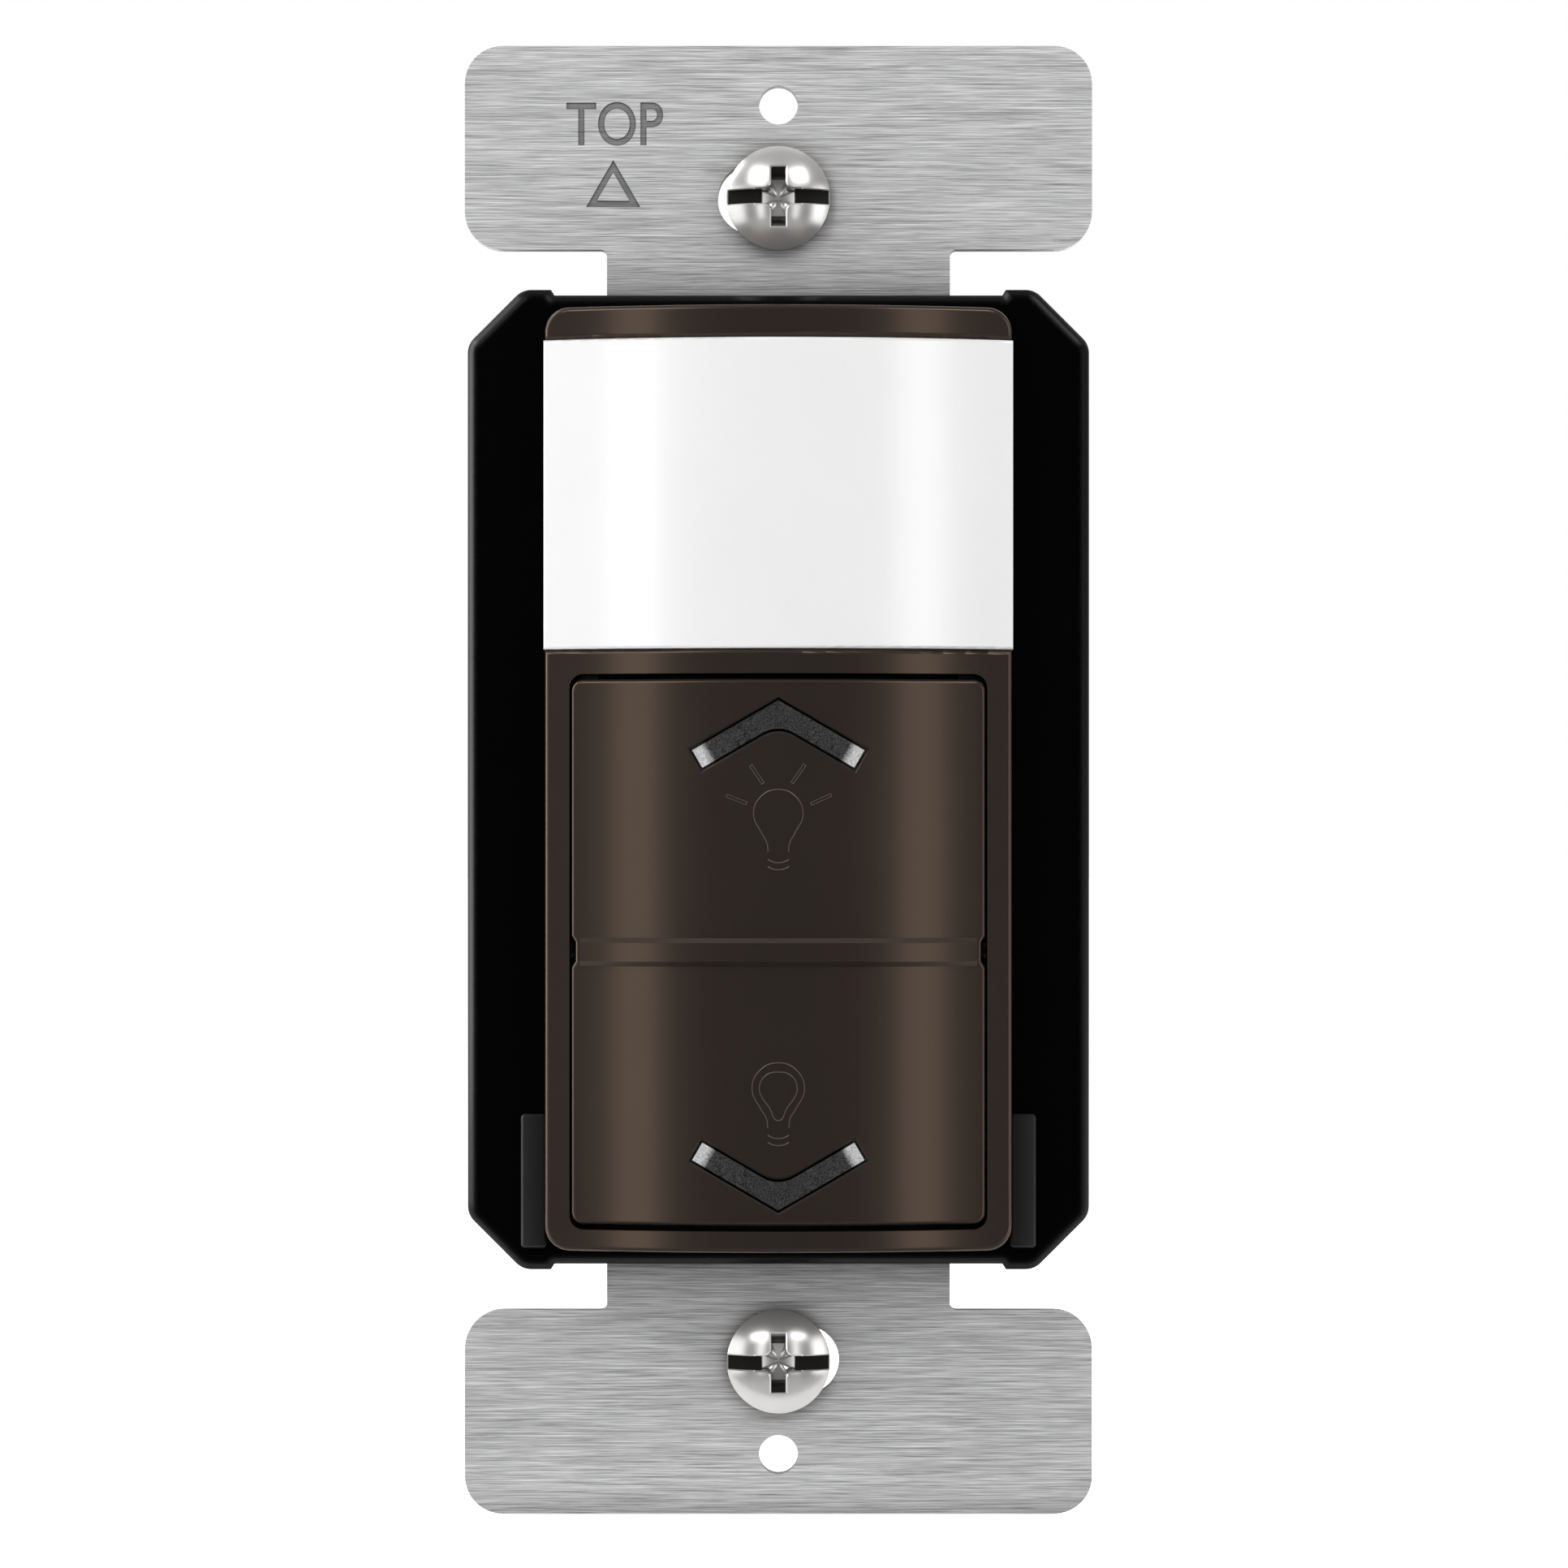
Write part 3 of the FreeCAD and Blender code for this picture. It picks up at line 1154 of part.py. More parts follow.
def cross_rod(name, radius, x_text, depth, z_text, length, lead, side_x):
    """A round rod along X that starts a lead inside the given place and runs outwards."""
    item = doc.addObject("Part::Cylinder", name)
    turn = 90 if side_x == "+" else -90
    item.Placement = FreeCAD.Placement(Vector(), Rotation(Vector(0, 1, 0), turn))
    bind(item, "Radius", radius)
    bind(item, "Height", length)
    back = "-" if side_x == "+" else "+"
    place(item, f"{x_text} {back} ({lead})", f"0 - ({depth})", z_text)
    return item


def binding_screw(which, side_x, side_z, depth, tip):
    """Side wired binding screw, backed out so that a wire fits under its head."""
    middle = f"(0 {side_z} channel_pitch / 2)"
    head_start = "(terminal_reach - terminal_head_height)"
    shank = cross_rod(f"{which}_shank", "terminal_screw_radius", f"0 {side_x} {tip}", f"0 - {depth}", middle,
                      f"{head_start} - {tip} + 0.1", "0", side_x)
    head = cross_rod(f"{which}_head", "terminal_head_radius", f"0 {side_x} {head_start}", f"0 - {depth}", middle,
                     "terminal_head_height", "0", side_x)
    outer = "terminal_reach"
    low, high = (f"({outer} - terminal_slot_depth)", f"({outer} + 1)")
    if side_x == "-":
        low, high = f"(0 - {high})", f"(0 - {low})"
    half, span = "terminal_slot_width / 2", "terminal_cross_span / 2"
    slot = block(f"{which}_flat", low, high, f"0 - {depth} - {half}", f"0 - {depth} + {half}",
                 f"{middle} - terminal_head_radius - 1", f"{middle} + terminal_head_radius + 1")
    cross = block(f"{which}_cross", low, high, f"0 - {depth} - {span}", f"0 - {depth} + {span}",
                  f"{middle} - {half}", f"{middle} + {half}")
    return cut(f"{which}_screw", fused(f"{which}_blank", [shank, head]), [slot, cross])


def front_board():
    """Control board behind the face, notched round the cover's posts and the heat-sink tab."""
    body = new_body("front_board")
    edge = new_sketch(body, "Edge", "XZ_Plane", f"{BOARD_SURFACE} - board_thick")
    half = "(board_width / 2)"
    inner = "(post_span_x / 2 - post_radius - board_gap)"
    step = "(post_span_z / 2 - post_radius - board_gap)"
    top = "(front_board_height / 2)"
    outline(edge, mirrored_down(mirrored_left([(half, step), (inner, step), (inner, top)])))
    pad(body, edge, "board_thick", "Laminate")
    holes = new_sketch(body, "ScrewHoles", "XZ_Plane", BOARD_SURFACE)
    for side_x, side_z in CORNERS:
        circle(holes, f"0 {side_x} pillar_span_x / 2", f"0 {side_z} pillar_span_z / 2",
               "board_hole_radius")
    pocket(body, holes, "board_thick", "Drilled")
    return body


def power_board():
    """Power board on the shoulders of the pillars, slotted for the terminals' lugs."""
    body = new_body("power_board")
    edge = new_sketch(body, "Edge", "XZ_Plane", f"{POWER_SURFACE} - board_thick")
    half = "(board_width / 2)"
    inner = "(post_span_x / 2 - boss_radius - board_gap)"
    step = "(post_span_z / 2 - boss_radius - board_gap)"
    top = "(power_board_height / 2)"
    outline(edge, mirrored_down(mirrored_left([(half, step), (inner, step), (inner, top)])))
    pad(body, edge, "board_thick", "Laminate")
    holes = new_sketch(body, "Openings", "XZ_Plane", POWER_SURFACE)
    for side_x, side_z in CORNERS:
        circle(holes, f"0 {side_x} pillar_span_x / 2", f"0 {side_z} pillar_span_z / 2",
               "pillar_radius + strap_clearance")
        if (side_x, side_z) == ("-", "-"):
            continue
        middle = f"(0 {side_z} channel_pitch / 2)"
        near, far = "(lug_x - strap_clearance)", "(lug_x + lug_thick + strap_clearance)"
        if side_x == "-":
            near, far = f"(0 - {far})", f"(0 - {near})"
        half = "(lug_width / 3 + strap_clearance)"
        box_outline(holes, near, f"{middle} - {half}", far, f"{middle} + {half}")
    pocket(body, holes, "board_thick", "Drilled")
    return body


def switch(which, side):
    """Tactile switch under one foot of the rocker: a body on the board and a plunger that sinks into it."""
    middle = f"({PIVOT_Z} {side} foot_offset)"
    top = f"({BOARD_SURFACE} + switch_height)"
    shell = block(f"switch_{which}_shell", "(0 - switch_size / 2)", "(switch_size / 2)", BOARD_SURFACE, top,
                  f"{middle} - switch_size / 2", f"{middle} + switch_size / 2")
    floor = "(plunger_top - plunger_length - plunger_travel - 0.15)"
    well = rod(f"switch_{which}_well", "plunger_radius + plunger_clearance", "0", middle, floor, f"{top} + 1")
    cut(f"switch_body_{which}", shell, [well])
    stem = rod(f"switch_{which}_stem", "plunger_radius", "0", middle, "plunger_top - plunger_length", "plunger_top")
    plunger = doc.addObject("Part::Chamfer", f"switch_plunger_{which}")
    plunger.Base = stem
    doc.recompute()
    front = number_of("0.01 - plunger_top")
    bevel = number_of("plunger_bevel")
    plunger.Edges = [(i, bevel, bevel) for i, edge in enumerate(stem.Shape.Edges, start=1)
                     if edge.BoundBox.YMax < front]
    plunger.Label = f"switch_plunger_{which}"


def led(which):
    """Small domed lamp under a light guide's leg."""
    body = new_body(f"led_{which}")
    profile = new_sketch(body, "Profile", "XY_Plane")
    base, top = "front_board_depth", "(front_board_depth - led_height)"
    outline(profile, [
        ("0", base), ("0", top), ("led_radius - led_bevel", top),
        ("led_radius", f"{top} + led_bevel"), ("led_radius", base),
    ])
    turned(body, profile, "Moulded")
    place(body, z=guide_middle(which))
    return body


def motion_sensor():
    """Pyroelectric sensor in a metal can, with a window in its top, behind the middle of the lens."""
    rim, top = f"({BOARD_SURFACE} + pir_flange)", f"({BOARD_SURFACE} + pir_height)"
    flange = rod("pir_flange_disc", "pir_radius + pir_flange", "0", LENS_Z, BOARD_SURFACE, rim)
    can = rod("pir_can", "pir_radius", "0", LENS_Z, rim, top)
    window = block("pir_window", "(0 - pir_window_width / 2)", "(pir_window_width / 2)",
                   f"{top} - pir_window_depth", f"{top} + 1",
                   f"{LENS_Z} - pir_window_height / 2", f"{LENS_Z} + pir_window_height / 2")
    cut("pir_sensor", fused("pir_blank", [flange, can]), [window])
    outer = rod("shroud_outer", "shroud_inner + shroud_wall", "0", LENS_Z, BOARD_SURFACE,
                f"{BOARD_SURFACE} + shroud_height")
    inner = rod("shroud_bore", "shroud_inner", "0", LENS_Z, f"{BOARD_SURFACE} - 1",
                f"{BOARD_SURFACE} + shroud_height + 1")
    cut("sensor_shroud", outer, [inner])


def choke():
    """Suppression choke: a ferrite ring that lies on the board inside its copper winding."""
    low = f"({POWER_SURFACE} + winding_wall)"
    high = f"({low} + 2 * choke_section)"
    middle = "(0 - choke_drop)"
    ring = rod("choke_ring", "choke_radius + choke_section", "0", middle, low, high)
    bore = rod("choke_bore", "choke_radius - choke_section", "0", middle, f"{low} - 1", f"{high} + 1")
    cut("choke_core", ring, [bore])
    outer = rod("winding_outer", "choke_radius + choke_section + winding_wall", "0", middle,
                f"{low} - winding_wall", f"{high} + winding_wall")
    bind(outer, "Angle", "winding_angle")
    hole = rod("winding_hole", "choke_radius - choke_section - winding_wall", "0", middle,
               f"{low} - winding_wall - 1", f"{high} + winding_wall + 1")
    room = rod("winding_room", "choke_radius + choke_section + winding_gap", "0", middle,
               f"{low} - winding_gap", f"{high} + winding_gap")
    heart = rod("winding_heart", "choke_radius - choke_section - winding_gap", "0", middle,
                f"{low} - 1", f"{high} + 1")
    groove = cut("winding_groove", room, [heart])
    cut("choke_winding", outer, [hole, groove])


def power_parts():
    """What else stands on the power board between the two boards."""
    film_top = "(0 - choke_drop - choke_radius - choke_section - winding_wall - part_gap)"
    film = block("film_block", "(0 - film_width / 2)", "(film_width / 2)", POWER_SURFACE,
                 f"({POWER_SURFACE} + film_height)", f"({film_top} - film_thick)", film_top)
    case = doc.addObject("Part::Fillet", "film_capacitor")
    case.Base = film
    doc.recompute()
    film_round = number_of("film_round")
    case.Edges = [(i, film_round, film_round) for i, edge in enumerate(film.Shape.Edges, start=1)
                  if edge.BoundBox.YMax < number_of("power_board_depth - 0.1")]
    case.Label = "film_capacitor"

    # the varistor's disc stands above the choke, and the capacitor's can above the varistor
    disc_foot = "(0 - choke_drop + choke_radius + choke_section + winding_wall + part_gap)"
    disc = doc.addObject("Part::Cylinder", "varistor")
    bind(disc, "Radius", "varistor_radius")
    bind(disc, "Height", "varistor_thick")
    place(disc, "0", f"0 - ({POWER_SURFACE} + varistor_radius)", disc_foot)
    disc.Label = "varistor"

    can_z = f"({disc_foot} + varistor_thick + part_gap + capacitor_radius)"
    can = rod("capacitor_can", "capacitor_radius", "0", can_z, POWER_SURFACE,
              f"{POWER_SURFACE} + capacitor_length")
    groove_low = f"({POWER_SURFACE} + capacitor_groove_rise)"
    groove_high = f"({groove_low} + capacitor_groove_width)"
    ring = rod("capacitor_ring", "capacitor_radius + 1", "0", can_z, groove_low, groove_high)
    heart = rod("capacitor_heart", "capacitor_groove_radius", "0", can_z, f"{groove_low} - 1", f"{groove_high} + 1")
    cut("electrolytic_capacitor", can, [cut("capacitor_groove", ring, [heart])])

    gap = "(header_width / header_pins)"
    foot = "(0 - power_board_height / 2 + header_edge)"
    top = f"({foot} + header_thick)"
    under = f"({BOARD_SURFACE} - board_thick)"
    row = [
        block("header_lower", "(0 - header_width / 2)", "(header_width / 2)", POWER_SURFACE,
              f"{POWER_SURFACE} + header_thick", foot, top),
        block("header_upper", "(0 - header_width / 2)", "(header_width / 2)",
              f"{under} - header_thick", under, foot, top),
    ]
    middle = f"({foot} + header_thick / 2)"
    for i in range(int(number_of("header_pins"))):
        x = f"(0 - header_width / 2 + {gap} * {i + 0.5})"
        row.append(block(f"header_pin_{i}", f"{x} - header_pin / 2", f"{x} + header_pin / 2",
                         f"{POWER_SURFACE} + header_thick / 2", f"{under} - header_thick / 2",
                         f"{middle} - header_pin / 2", f"{middle} + header_pin / 2"))
    fused("board_header", row)


def power_stage():
    """Power transistor screwed under the strap's heat-sink tab, on an insulating pad."""
    tab = "(window_height / 2)"
    pad_foot = f"({tab} - pad_thick)"
    half = "(transistor_width / 2)"
    front = "(0 - transistor_front)"
    back = f"({front} - transistor_length)"
    hole = "transistor_hole_depth"
    sheet_pad = block("thermal_sheet", f"(0 - {half} - pad_margin)", f"({half} + pad_margin)",
                      "pad_margin - heat_tab_depth", f"{front} + pad_margin", pad_foot, tab)
    cut("thermal_pad", sheet_pad, [upright("thermal_sheet_hole", "transistor_screw_radius + peg_clearance", hole,
                                           f"{pad_foot} - 1", "pad_thick + 2")])

    metal = block("transistor_metal", f"(0 - {half})", half, back, front,
                  f"{pad_foot} - transistor_tab_thick", pad_foot)
    case = block("transistor_case", f"(0 - {half})", half, back, f"{front} - transistor_tab_length",
                 f"{pad_foot} - transistor_thick", pad_foot)
    lead_top = f"({pad_foot} - transistor_thick / 2)"
    leads = []
    for i in (-1, 0, 1):
        x = f"({i} * transistor_lead_pitch)"
        leads.append(block(f"transistor_lead_{i + 1}", f"{x} - transistor_lead_width / 2",
                           f"{x} + transistor_lead_width / 2", POWER_SURFACE, back,
                           f"{lead_top} - transistor_lead_thick", lead_top))
    cut("power_transistor", fused("transistor_blank", [metal, case] + leads),
        [upright("transistor_bore", "transistor_hole_radius", hole, f"{pad_foot} - transistor_thick - 1",
                 "transistor_thick + 2")])

    seat = f"({pad_foot} - transistor_tab_thick)"
    head = upright("transistor_screw_head", "transistor_head_radius", hole,
                   f"{seat} - transistor_head_height", "transistor_head_height")
    shank = upright("transistor_screw_shank", "transistor_screw_radius", hole, seat,
                    "transistor_tab_thick + pad_thick + strap_thick + pad_margin")
    fused("transistor_screw", [head, shank])


def upright(name, radius, behind, foot, height):
    """A round rod that stands along Z, the given distance behind the strap."""
    item = doc.addObject("Part::Cylinder", name)
    bind(item, "Radius", radius)
    bind(item, "Height", height)
    place(item, "0", behind, foot)
    return item


mounting_strap()
front_cover()
bezel()
sensor_lens()
rocker()
light_guide("up")
light_guide("down")
latch("left", "-")
latch("right", "+")
for which, side in (("top", "+"), ("bottom", "-")):
    box_screw(which, side)
    retainer(which, side)
rear_housing()
case_screws()
for which, (side_x, side_z) in zip(("line", "load", "neutral"), LIVE_CHANNELS):
    terminal(which, side_x, side_z)
    binding_screw(which, side_x, side_z, "terminal_screw_depth", "(channel_floor - channel_wall + 0.3)")
binding_screw("ground", "-", "-", "ground_screw_depth", "(channel_floor + 0.3)")
front_board()
board_screws()
motion_sensor()
for which, side in (("up", "+"), ("down", "-")):
    switch(which, side)
    led(which)
power_board()
choke()
power_parts()
power_stage()
doc.recompute()

PIECES = [
    "mounting_strap", "front_cover", "bezel", "sensor_lens", "rocker", "chevron_up", "chevron_down",
    "latch_left", "latch_right", "mounting_screw_top", "mounting_screw_bottom",
    "screw_retainer_top", "screw_retainer_bottom", "rear_housing", "case_screws",
    "line_terminal", "load_terminal", "neutral_terminal",
    "line_screw", "load_screw", "neutral_screw", "ground_screw",
    "front_board", "board_screws", "pir_sensor", "sensor_shroud",
    "switch_body_up", "switch_body_down", "switch_plunger_up", "switch_plunger_down", "led_up", "led_down",
    "power_board", "board_header", "choke_core", "choke_winding",
    "film_capacitor", "electrolytic_capacitor", "varistor",
    "power_transistor", "transistor_screw", "thermal_pad",
]

for item in doc.Objects:
    if "Invalid" in item.State or "Error" in item.State:
        raise RuntimeError(f"{item.Label} did not build: {item.State}")
for name in PIECES:
    item = doc.getObjectsByLabel(name)[0]
    if item.Shape.isNull() or not item.Shape.isValid():
        raise RuntimeError(f"{name} has no valid shape")
    item.Shape.exportStep(f"parts/{name}.step")
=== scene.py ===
import math

import bmesh
import bpy
from mathutils import Matrix, Vector


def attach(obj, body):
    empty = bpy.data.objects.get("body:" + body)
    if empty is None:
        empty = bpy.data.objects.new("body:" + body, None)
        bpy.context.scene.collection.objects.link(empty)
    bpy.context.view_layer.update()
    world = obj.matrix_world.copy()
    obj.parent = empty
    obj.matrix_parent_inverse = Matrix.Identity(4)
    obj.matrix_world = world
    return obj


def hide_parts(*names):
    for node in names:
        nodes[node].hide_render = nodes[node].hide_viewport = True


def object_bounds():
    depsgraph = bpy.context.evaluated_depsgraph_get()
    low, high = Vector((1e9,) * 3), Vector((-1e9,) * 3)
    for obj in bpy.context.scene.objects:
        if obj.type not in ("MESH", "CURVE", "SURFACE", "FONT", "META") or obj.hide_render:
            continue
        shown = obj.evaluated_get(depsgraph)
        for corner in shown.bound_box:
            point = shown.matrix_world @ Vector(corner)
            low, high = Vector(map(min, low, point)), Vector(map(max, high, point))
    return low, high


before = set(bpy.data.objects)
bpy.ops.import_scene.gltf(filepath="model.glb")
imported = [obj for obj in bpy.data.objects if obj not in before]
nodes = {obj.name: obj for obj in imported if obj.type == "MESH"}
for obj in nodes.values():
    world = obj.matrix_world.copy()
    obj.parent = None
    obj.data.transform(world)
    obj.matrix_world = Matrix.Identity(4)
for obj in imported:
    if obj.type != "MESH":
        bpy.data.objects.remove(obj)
cad_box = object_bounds()

# Camera.
# It looks squarely at the face from 40 cm, a little below the middle of the switch. At the
# strap's front the picture is 112.5 mm wide, which the spacing of the two box screws gives.
STRAP_FRONT = 0.0015
CAMERA_DISTANCE = 0.40
CAMERA_ASIDE = 0.0004
CAMERA_LEVEL = -0.004
PICTURE_MIDDLE = -0.0003
PICTURE_WIDTH = 0.1125
SENSOR_WIDTH = 36
NEAREST, FURTHEST = 0.01, 20
camera = bpy.data.objects.new("camera", bpy.data.cameras.new("camera"))
bpy.context.scene.collection.objects.link(camera)
camera.location = (CAMERA_ASIDE, -STRAP_FRONT - CAMERA_DISTANCE, CAMERA_LEVEL)
camera.rotation_euler = (math.radians(90), 0, 0)
camera.data.sensor_width = SENSOR_WIDTH
camera.data.lens = SENSOR_WIDTH * CAMERA_DISTANCE / PICTURE_WIDTH
camera.data.shift_y = (PICTURE_MIDDLE - CAMERA_LEVEL) / PICTURE_WIDTH
camera.data.clip_start = NEAREST
camera.data.clip_end = FURTHEST
bpy.context.scene.camera = camera
bpy.context.scene.view_settings.view_transform = "Standard"


# Studio floor.
# A pale matt board that the switch stands on. It glows for the camera, so that it ends in plain
# white, and it keeps the soft shadow at the foot of the strap.
def hex_colour(code):
    """The linear colour, with alpha, of an sRGB hex code such as 2D2824."""
    parts = [int(code[i:i + 2], 16) / 255 for i in (0, 2, 4)]
    return tuple(c / 12.92 if c <= 0.04045 else ((c + 0.055) / 1.055) ** 2.4 for c in parts) + (1,)


def add_node(tree, kind, inputs=None, **settings):
    """Adds a node. Each input is a plain value, or the output of another node."""
    made = tree.nodes.new(kind)
    for name, value in settings.items():
        setattr(made, name, value)
    for socket, value in (inputs or {}).items():
        if isinstance(value, bpy.types.NodeSocket):
            tree.links.new(value, made.inputs[socket])
        else:
            made.inputs[socket].default_value = value
    return made


FLOOR_GLOW = 0.9
FLOOR_IN_MIRRORS = 0.5
FLOOR_MIRRORED = -0.009
FLOOR_HALF = 6.0
FLOOR_GAP = 0.0002
WHITE = (1, 1, 1, 1)
floor_material = bpy.data.materials.new("matt white board")
floor_material.use_nodes = True
tree = floor_material.node_tree
tree.nodes.clear()
# the glow is whole for the camera and through clear plastic, and dimmer in mirrors
seen = add_node(tree, "ShaderNodeLightPath")
mirrored_or_seen = add_node(tree, "ShaderNodeMath",
                            {0: seen.outputs["Is Glossy Ray"], 1: FLOOR_IN_MIRRORS,
                             2: seen.outputs["Is Camera Ray"]}, operation="MULTIPLY_ADD")
seen_at_all = add_node(tree, "ShaderNodeMath",
                       {0: mirrored_or_seen.outputs[0], 1: seen.outputs["Is Transmission Ray"]},
                       operation="MAXIMUM")
glow_strength = add_node(tree, "ShaderNodeMath", {0: seen_at_all.outputs[0], 1: FLOOR_GLOW},
                         operation="MULTIPLY")
glow = add_node(tree, "ShaderNodeEmission", {"Color": WHITE, "Strength": glow_strength.outputs[0]})
board = add_node(tree, "ShaderNodeBsdfDiffuse", {"Color": hex_colour("F0F0F0"), "Roughness": 0.5})
both = add_node(tree, "ShaderNodeAddShader", {0: glow.outputs[0], 1: board.outputs[0]})
# mirror rays pass through its front part, so the glossy plastics show the dark front of the room
spot = add_node(tree, "ShaderNodeTexCoord")
spot_parts = add_node(tree, "ShaderNodeSeparateXYZ", {0: spot.outputs["Object"]})
in_front = add_node(tree, "ShaderNodeMath", {0: spot_parts.outputs["Y"], 1: FLOOR_MIRRORED},
                    operation="LESS_THAN")
unseen = add_node(tree, "ShaderNodeMath",
                  {0: in_front.outputs[0], 1: seen.outputs["Is Glossy Ray"]}, operation="MULTIPLY")
clear = add_node(tree, "ShaderNodeBsdfTransparent")
floor_look = add_node(tree, "ShaderNodeMixShader",
                      {0: unseen.outputs[0], 1: both.outputs[0], 2: clear.outputs[0]})
add_node(tree, "ShaderNodeOutputMaterial", {"Surface": floor_look.outputs[0]})

shape = bmesh.new()
bmesh.ops.create_grid(shape, x_segments=1, y_segments=1, size=FLOOR_HALF)
bmesh.ops.translate(shape, verts=shape.verts, vec=(0, 0, cad_box[0][2] - FLOOR_GAP))
mesh = bpy.data.meshes.new("studio_floor")
shape.to_mesh(mesh)
shape.free()
mesh.materials.append(floor_material)
floor = bpy.data.objects.new("studio_floor", mesh)
bpy.context.scene.collection.objects.link(floor)

# Studio light.
# White paper behind the switch and a dim room with a pale carpet in front of it, so the dark
# plastics stay dark and the lamps draw their edges. The camera sees plain white all round.
ROOM_LIGHT = 0.38
ROOM_FRONT = 0.03
ROOM_BACK = 0.65
ROOM_CEILING = 0.30
ROOM_CARPET = 0.50
# where each part of the room starts and is whole, as parts of a direction's Y or Z
PAPER_STARTS, PAPER_WHOLE = 0.02, 0.50
CEILING_STARTS, CEILING_WHOLE = 0.25, 0.85
CARPET_STARTS, CARPET_WHOLE = -0.30, -0.60
CARPET_FADES, CARPET_ENDS = -0.78, -0.90
world = bpy.data.worlds.new("studio")
bpy.context.scene.world = world
world.use_nodes = True
tree = world.node_tree
tree.nodes.clear()
seen = add_node(tree, "ShaderNodeLightPath")
direction = add_node(tree, "ShaderNodeTexCoord")
parts = add_node(tree, "ShaderNodeSeparateXYZ", {0: direction.outputs["Generated"]})
bands = []
for axis, starts, whole, low, high in (
    ("Y", PAPER_STARTS, PAPER_WHOLE, ROOM_FRONT, ROOM_BACK),
    ("Z", CEILING_STARTS, CEILING_WHOLE, 0.0, ROOM_CEILING),
    ("Z", CARPET_STARTS, CARPET_WHOLE, 0.0, ROOM_CARPET),
    ("Z", CARPET_FADES, CARPET_ENDS, ROOM_CARPET, 0.0),
):
    bands.append(add_node(tree, "ShaderNodeMapRange",
                          {0: parts.outputs[axis], 1: starts, 2: whole, 3: low, 4: high},
                          interpolation_type="SMOOTHSTEP"))
wall, ceiling, carpet_far, carpet_near = bands
carpet = add_node(tree, "ShaderNodeMath", {0: carpet_far.outputs[0], 1: carpet_near.outputs[0]},
                  operation="MINIMUM")
upper = add_node(tree, "ShaderNodeMath", {0: wall.outputs[0], 1: ceiling.outputs[0]},
                 operation="MAXIMUM")
room = add_node(tree, "ShaderNodeMath", {0: upper.outputs[0], 1: carpet.outputs[0]},
                operation="MAXIMUM")
seen_direct = add_node(tree, "ShaderNodeMath",
                       {0: seen.outputs["Is Camera Ray"], 1: seen.outputs["Is Transmission Ray"]},
                       operation="MAXIMUM")
mirrored = add_node(tree, "ShaderNodeMix",
                    {0: seen.outputs["Is Glossy Ray"], 2: ROOM_LIGHT, 3: room.outputs[0]},
                    data_type="FLOAT")
strength = add_node(tree, "ShaderNodeMix",
                    {0: seen_direct.outputs[0], 2: mirrored.outputs[0], 3: 1.0}, data_type="FLOAT")
sky = add_node(tree, "ShaderNodeBackground", {"Color": WHITE, "Strength": strength.outputs[0]})
add_node(tree, "ShaderNodeOutputWorld", {"Surface": sky.outputs[0]})

# The lamps: two strips that draw the two bright bands down the crowned face, two key lamps from
# above that also light the screw heads, two strips further round and one above that draw the
# rounded edges, and lamps for the sides and the back. Bearing and height are in degrees.
FACE_MIDDLE = Vector((0, -0.008, 0))
for name, bearing, height, away, size_x, size_y, radiance in (
    ("strip_left", -27.2, 0, 0.60, 0.094, 0.50, 2.3),
    ("strip_right", 27.2, 0, 0.60, 0.094, 0.50, 2.2),
    ("key_left", -34, 38, 1.30, 0.56, 0.52, 5.1),
    ("key_right", 36, 38, 1.30, 0.48, 0.44, 5.4),
    ("edge_left", -66, 0, 0.60, 0.26, 0.50, 1.7),
    ("edge_right", 66, 0, 0.60, 0.26, 0.50, 2.2),
    ("above", 0, 88, 0.60, 0.60, 0.10, 0.5),
    ("side_left", -92, 8, 0.60, 0.16, 0.80, 7.5),
    ("side_right", 92, 8, 0.60, 0.10, 0.80, 0.4),
    ("corner_left", -90, 45, 0.60, 0.16, 0.16, 4.0),
    ("back_left", -150, 35, 0.80, 0.40, 0.40, 1.0),
    ("back_right", 145, 30, 0.80, 0.40, 0.40, 0.8),
):
    turn, lift = math.radians(bearing), math.radians(height)
    offset = Vector((math.sin(turn) * math.cos(lift), -math.cos(turn) * math.cos(lift),
                     math.sin(lift))) * away
    lamp = bpy.data.objects.new(name, bpy.data.lights.new(name, "AREA"))
    lamp.data.shape = "RECTANGLE"
    lamp.data.size = size_x
    lamp.data.size_y = size_y
    lamp.data.energy = radiance * math.pi * size_x * size_y
    lamp.location = FACE_MIDDLE + offset
    lamp.rotation_euler = offset.to_track_quat("Z", "Y").to_euler()
    lamp.visible_camera = False
    bpy.context.scene.collection.objects.link(lamp)


# Rear housing.
# A deep box of black glass-filled polyester, moulded in a spark-eroded tool, with a wire channel
# under each terminal. Four screws in its corners hold it to the front cover.
def new_material(name, **surface):
    """A material with one Principled shader whose own sockets take the plain values given."""
    made = bpy.data.materials.new(name)
    made.use_nodes = True
    shader = made.node_tree.nodes["Principled BSDF"]
    for socket, value in surface.items():
        shader.inputs[socket.replace("_", " ")].default_value = value
    return made, made.node_tree, shader


def millimetres(tree, across=1.0, deep=1.0, up=1.0):
    """Object coordinates in millimetres, each stretched by its own factor."""
    place = add_node(tree, "ShaderNodeTexCoord")
    scaled = add_node(tree, "ShaderNodeMapping", {0: place.outputs["Object"]})
    scaled.inputs["Scale"].default_value = (1000 * across, 1000 * deep, 1000 * up)
    return scaled.outputs[0]


CLOUDS_PER_MM = 0.12


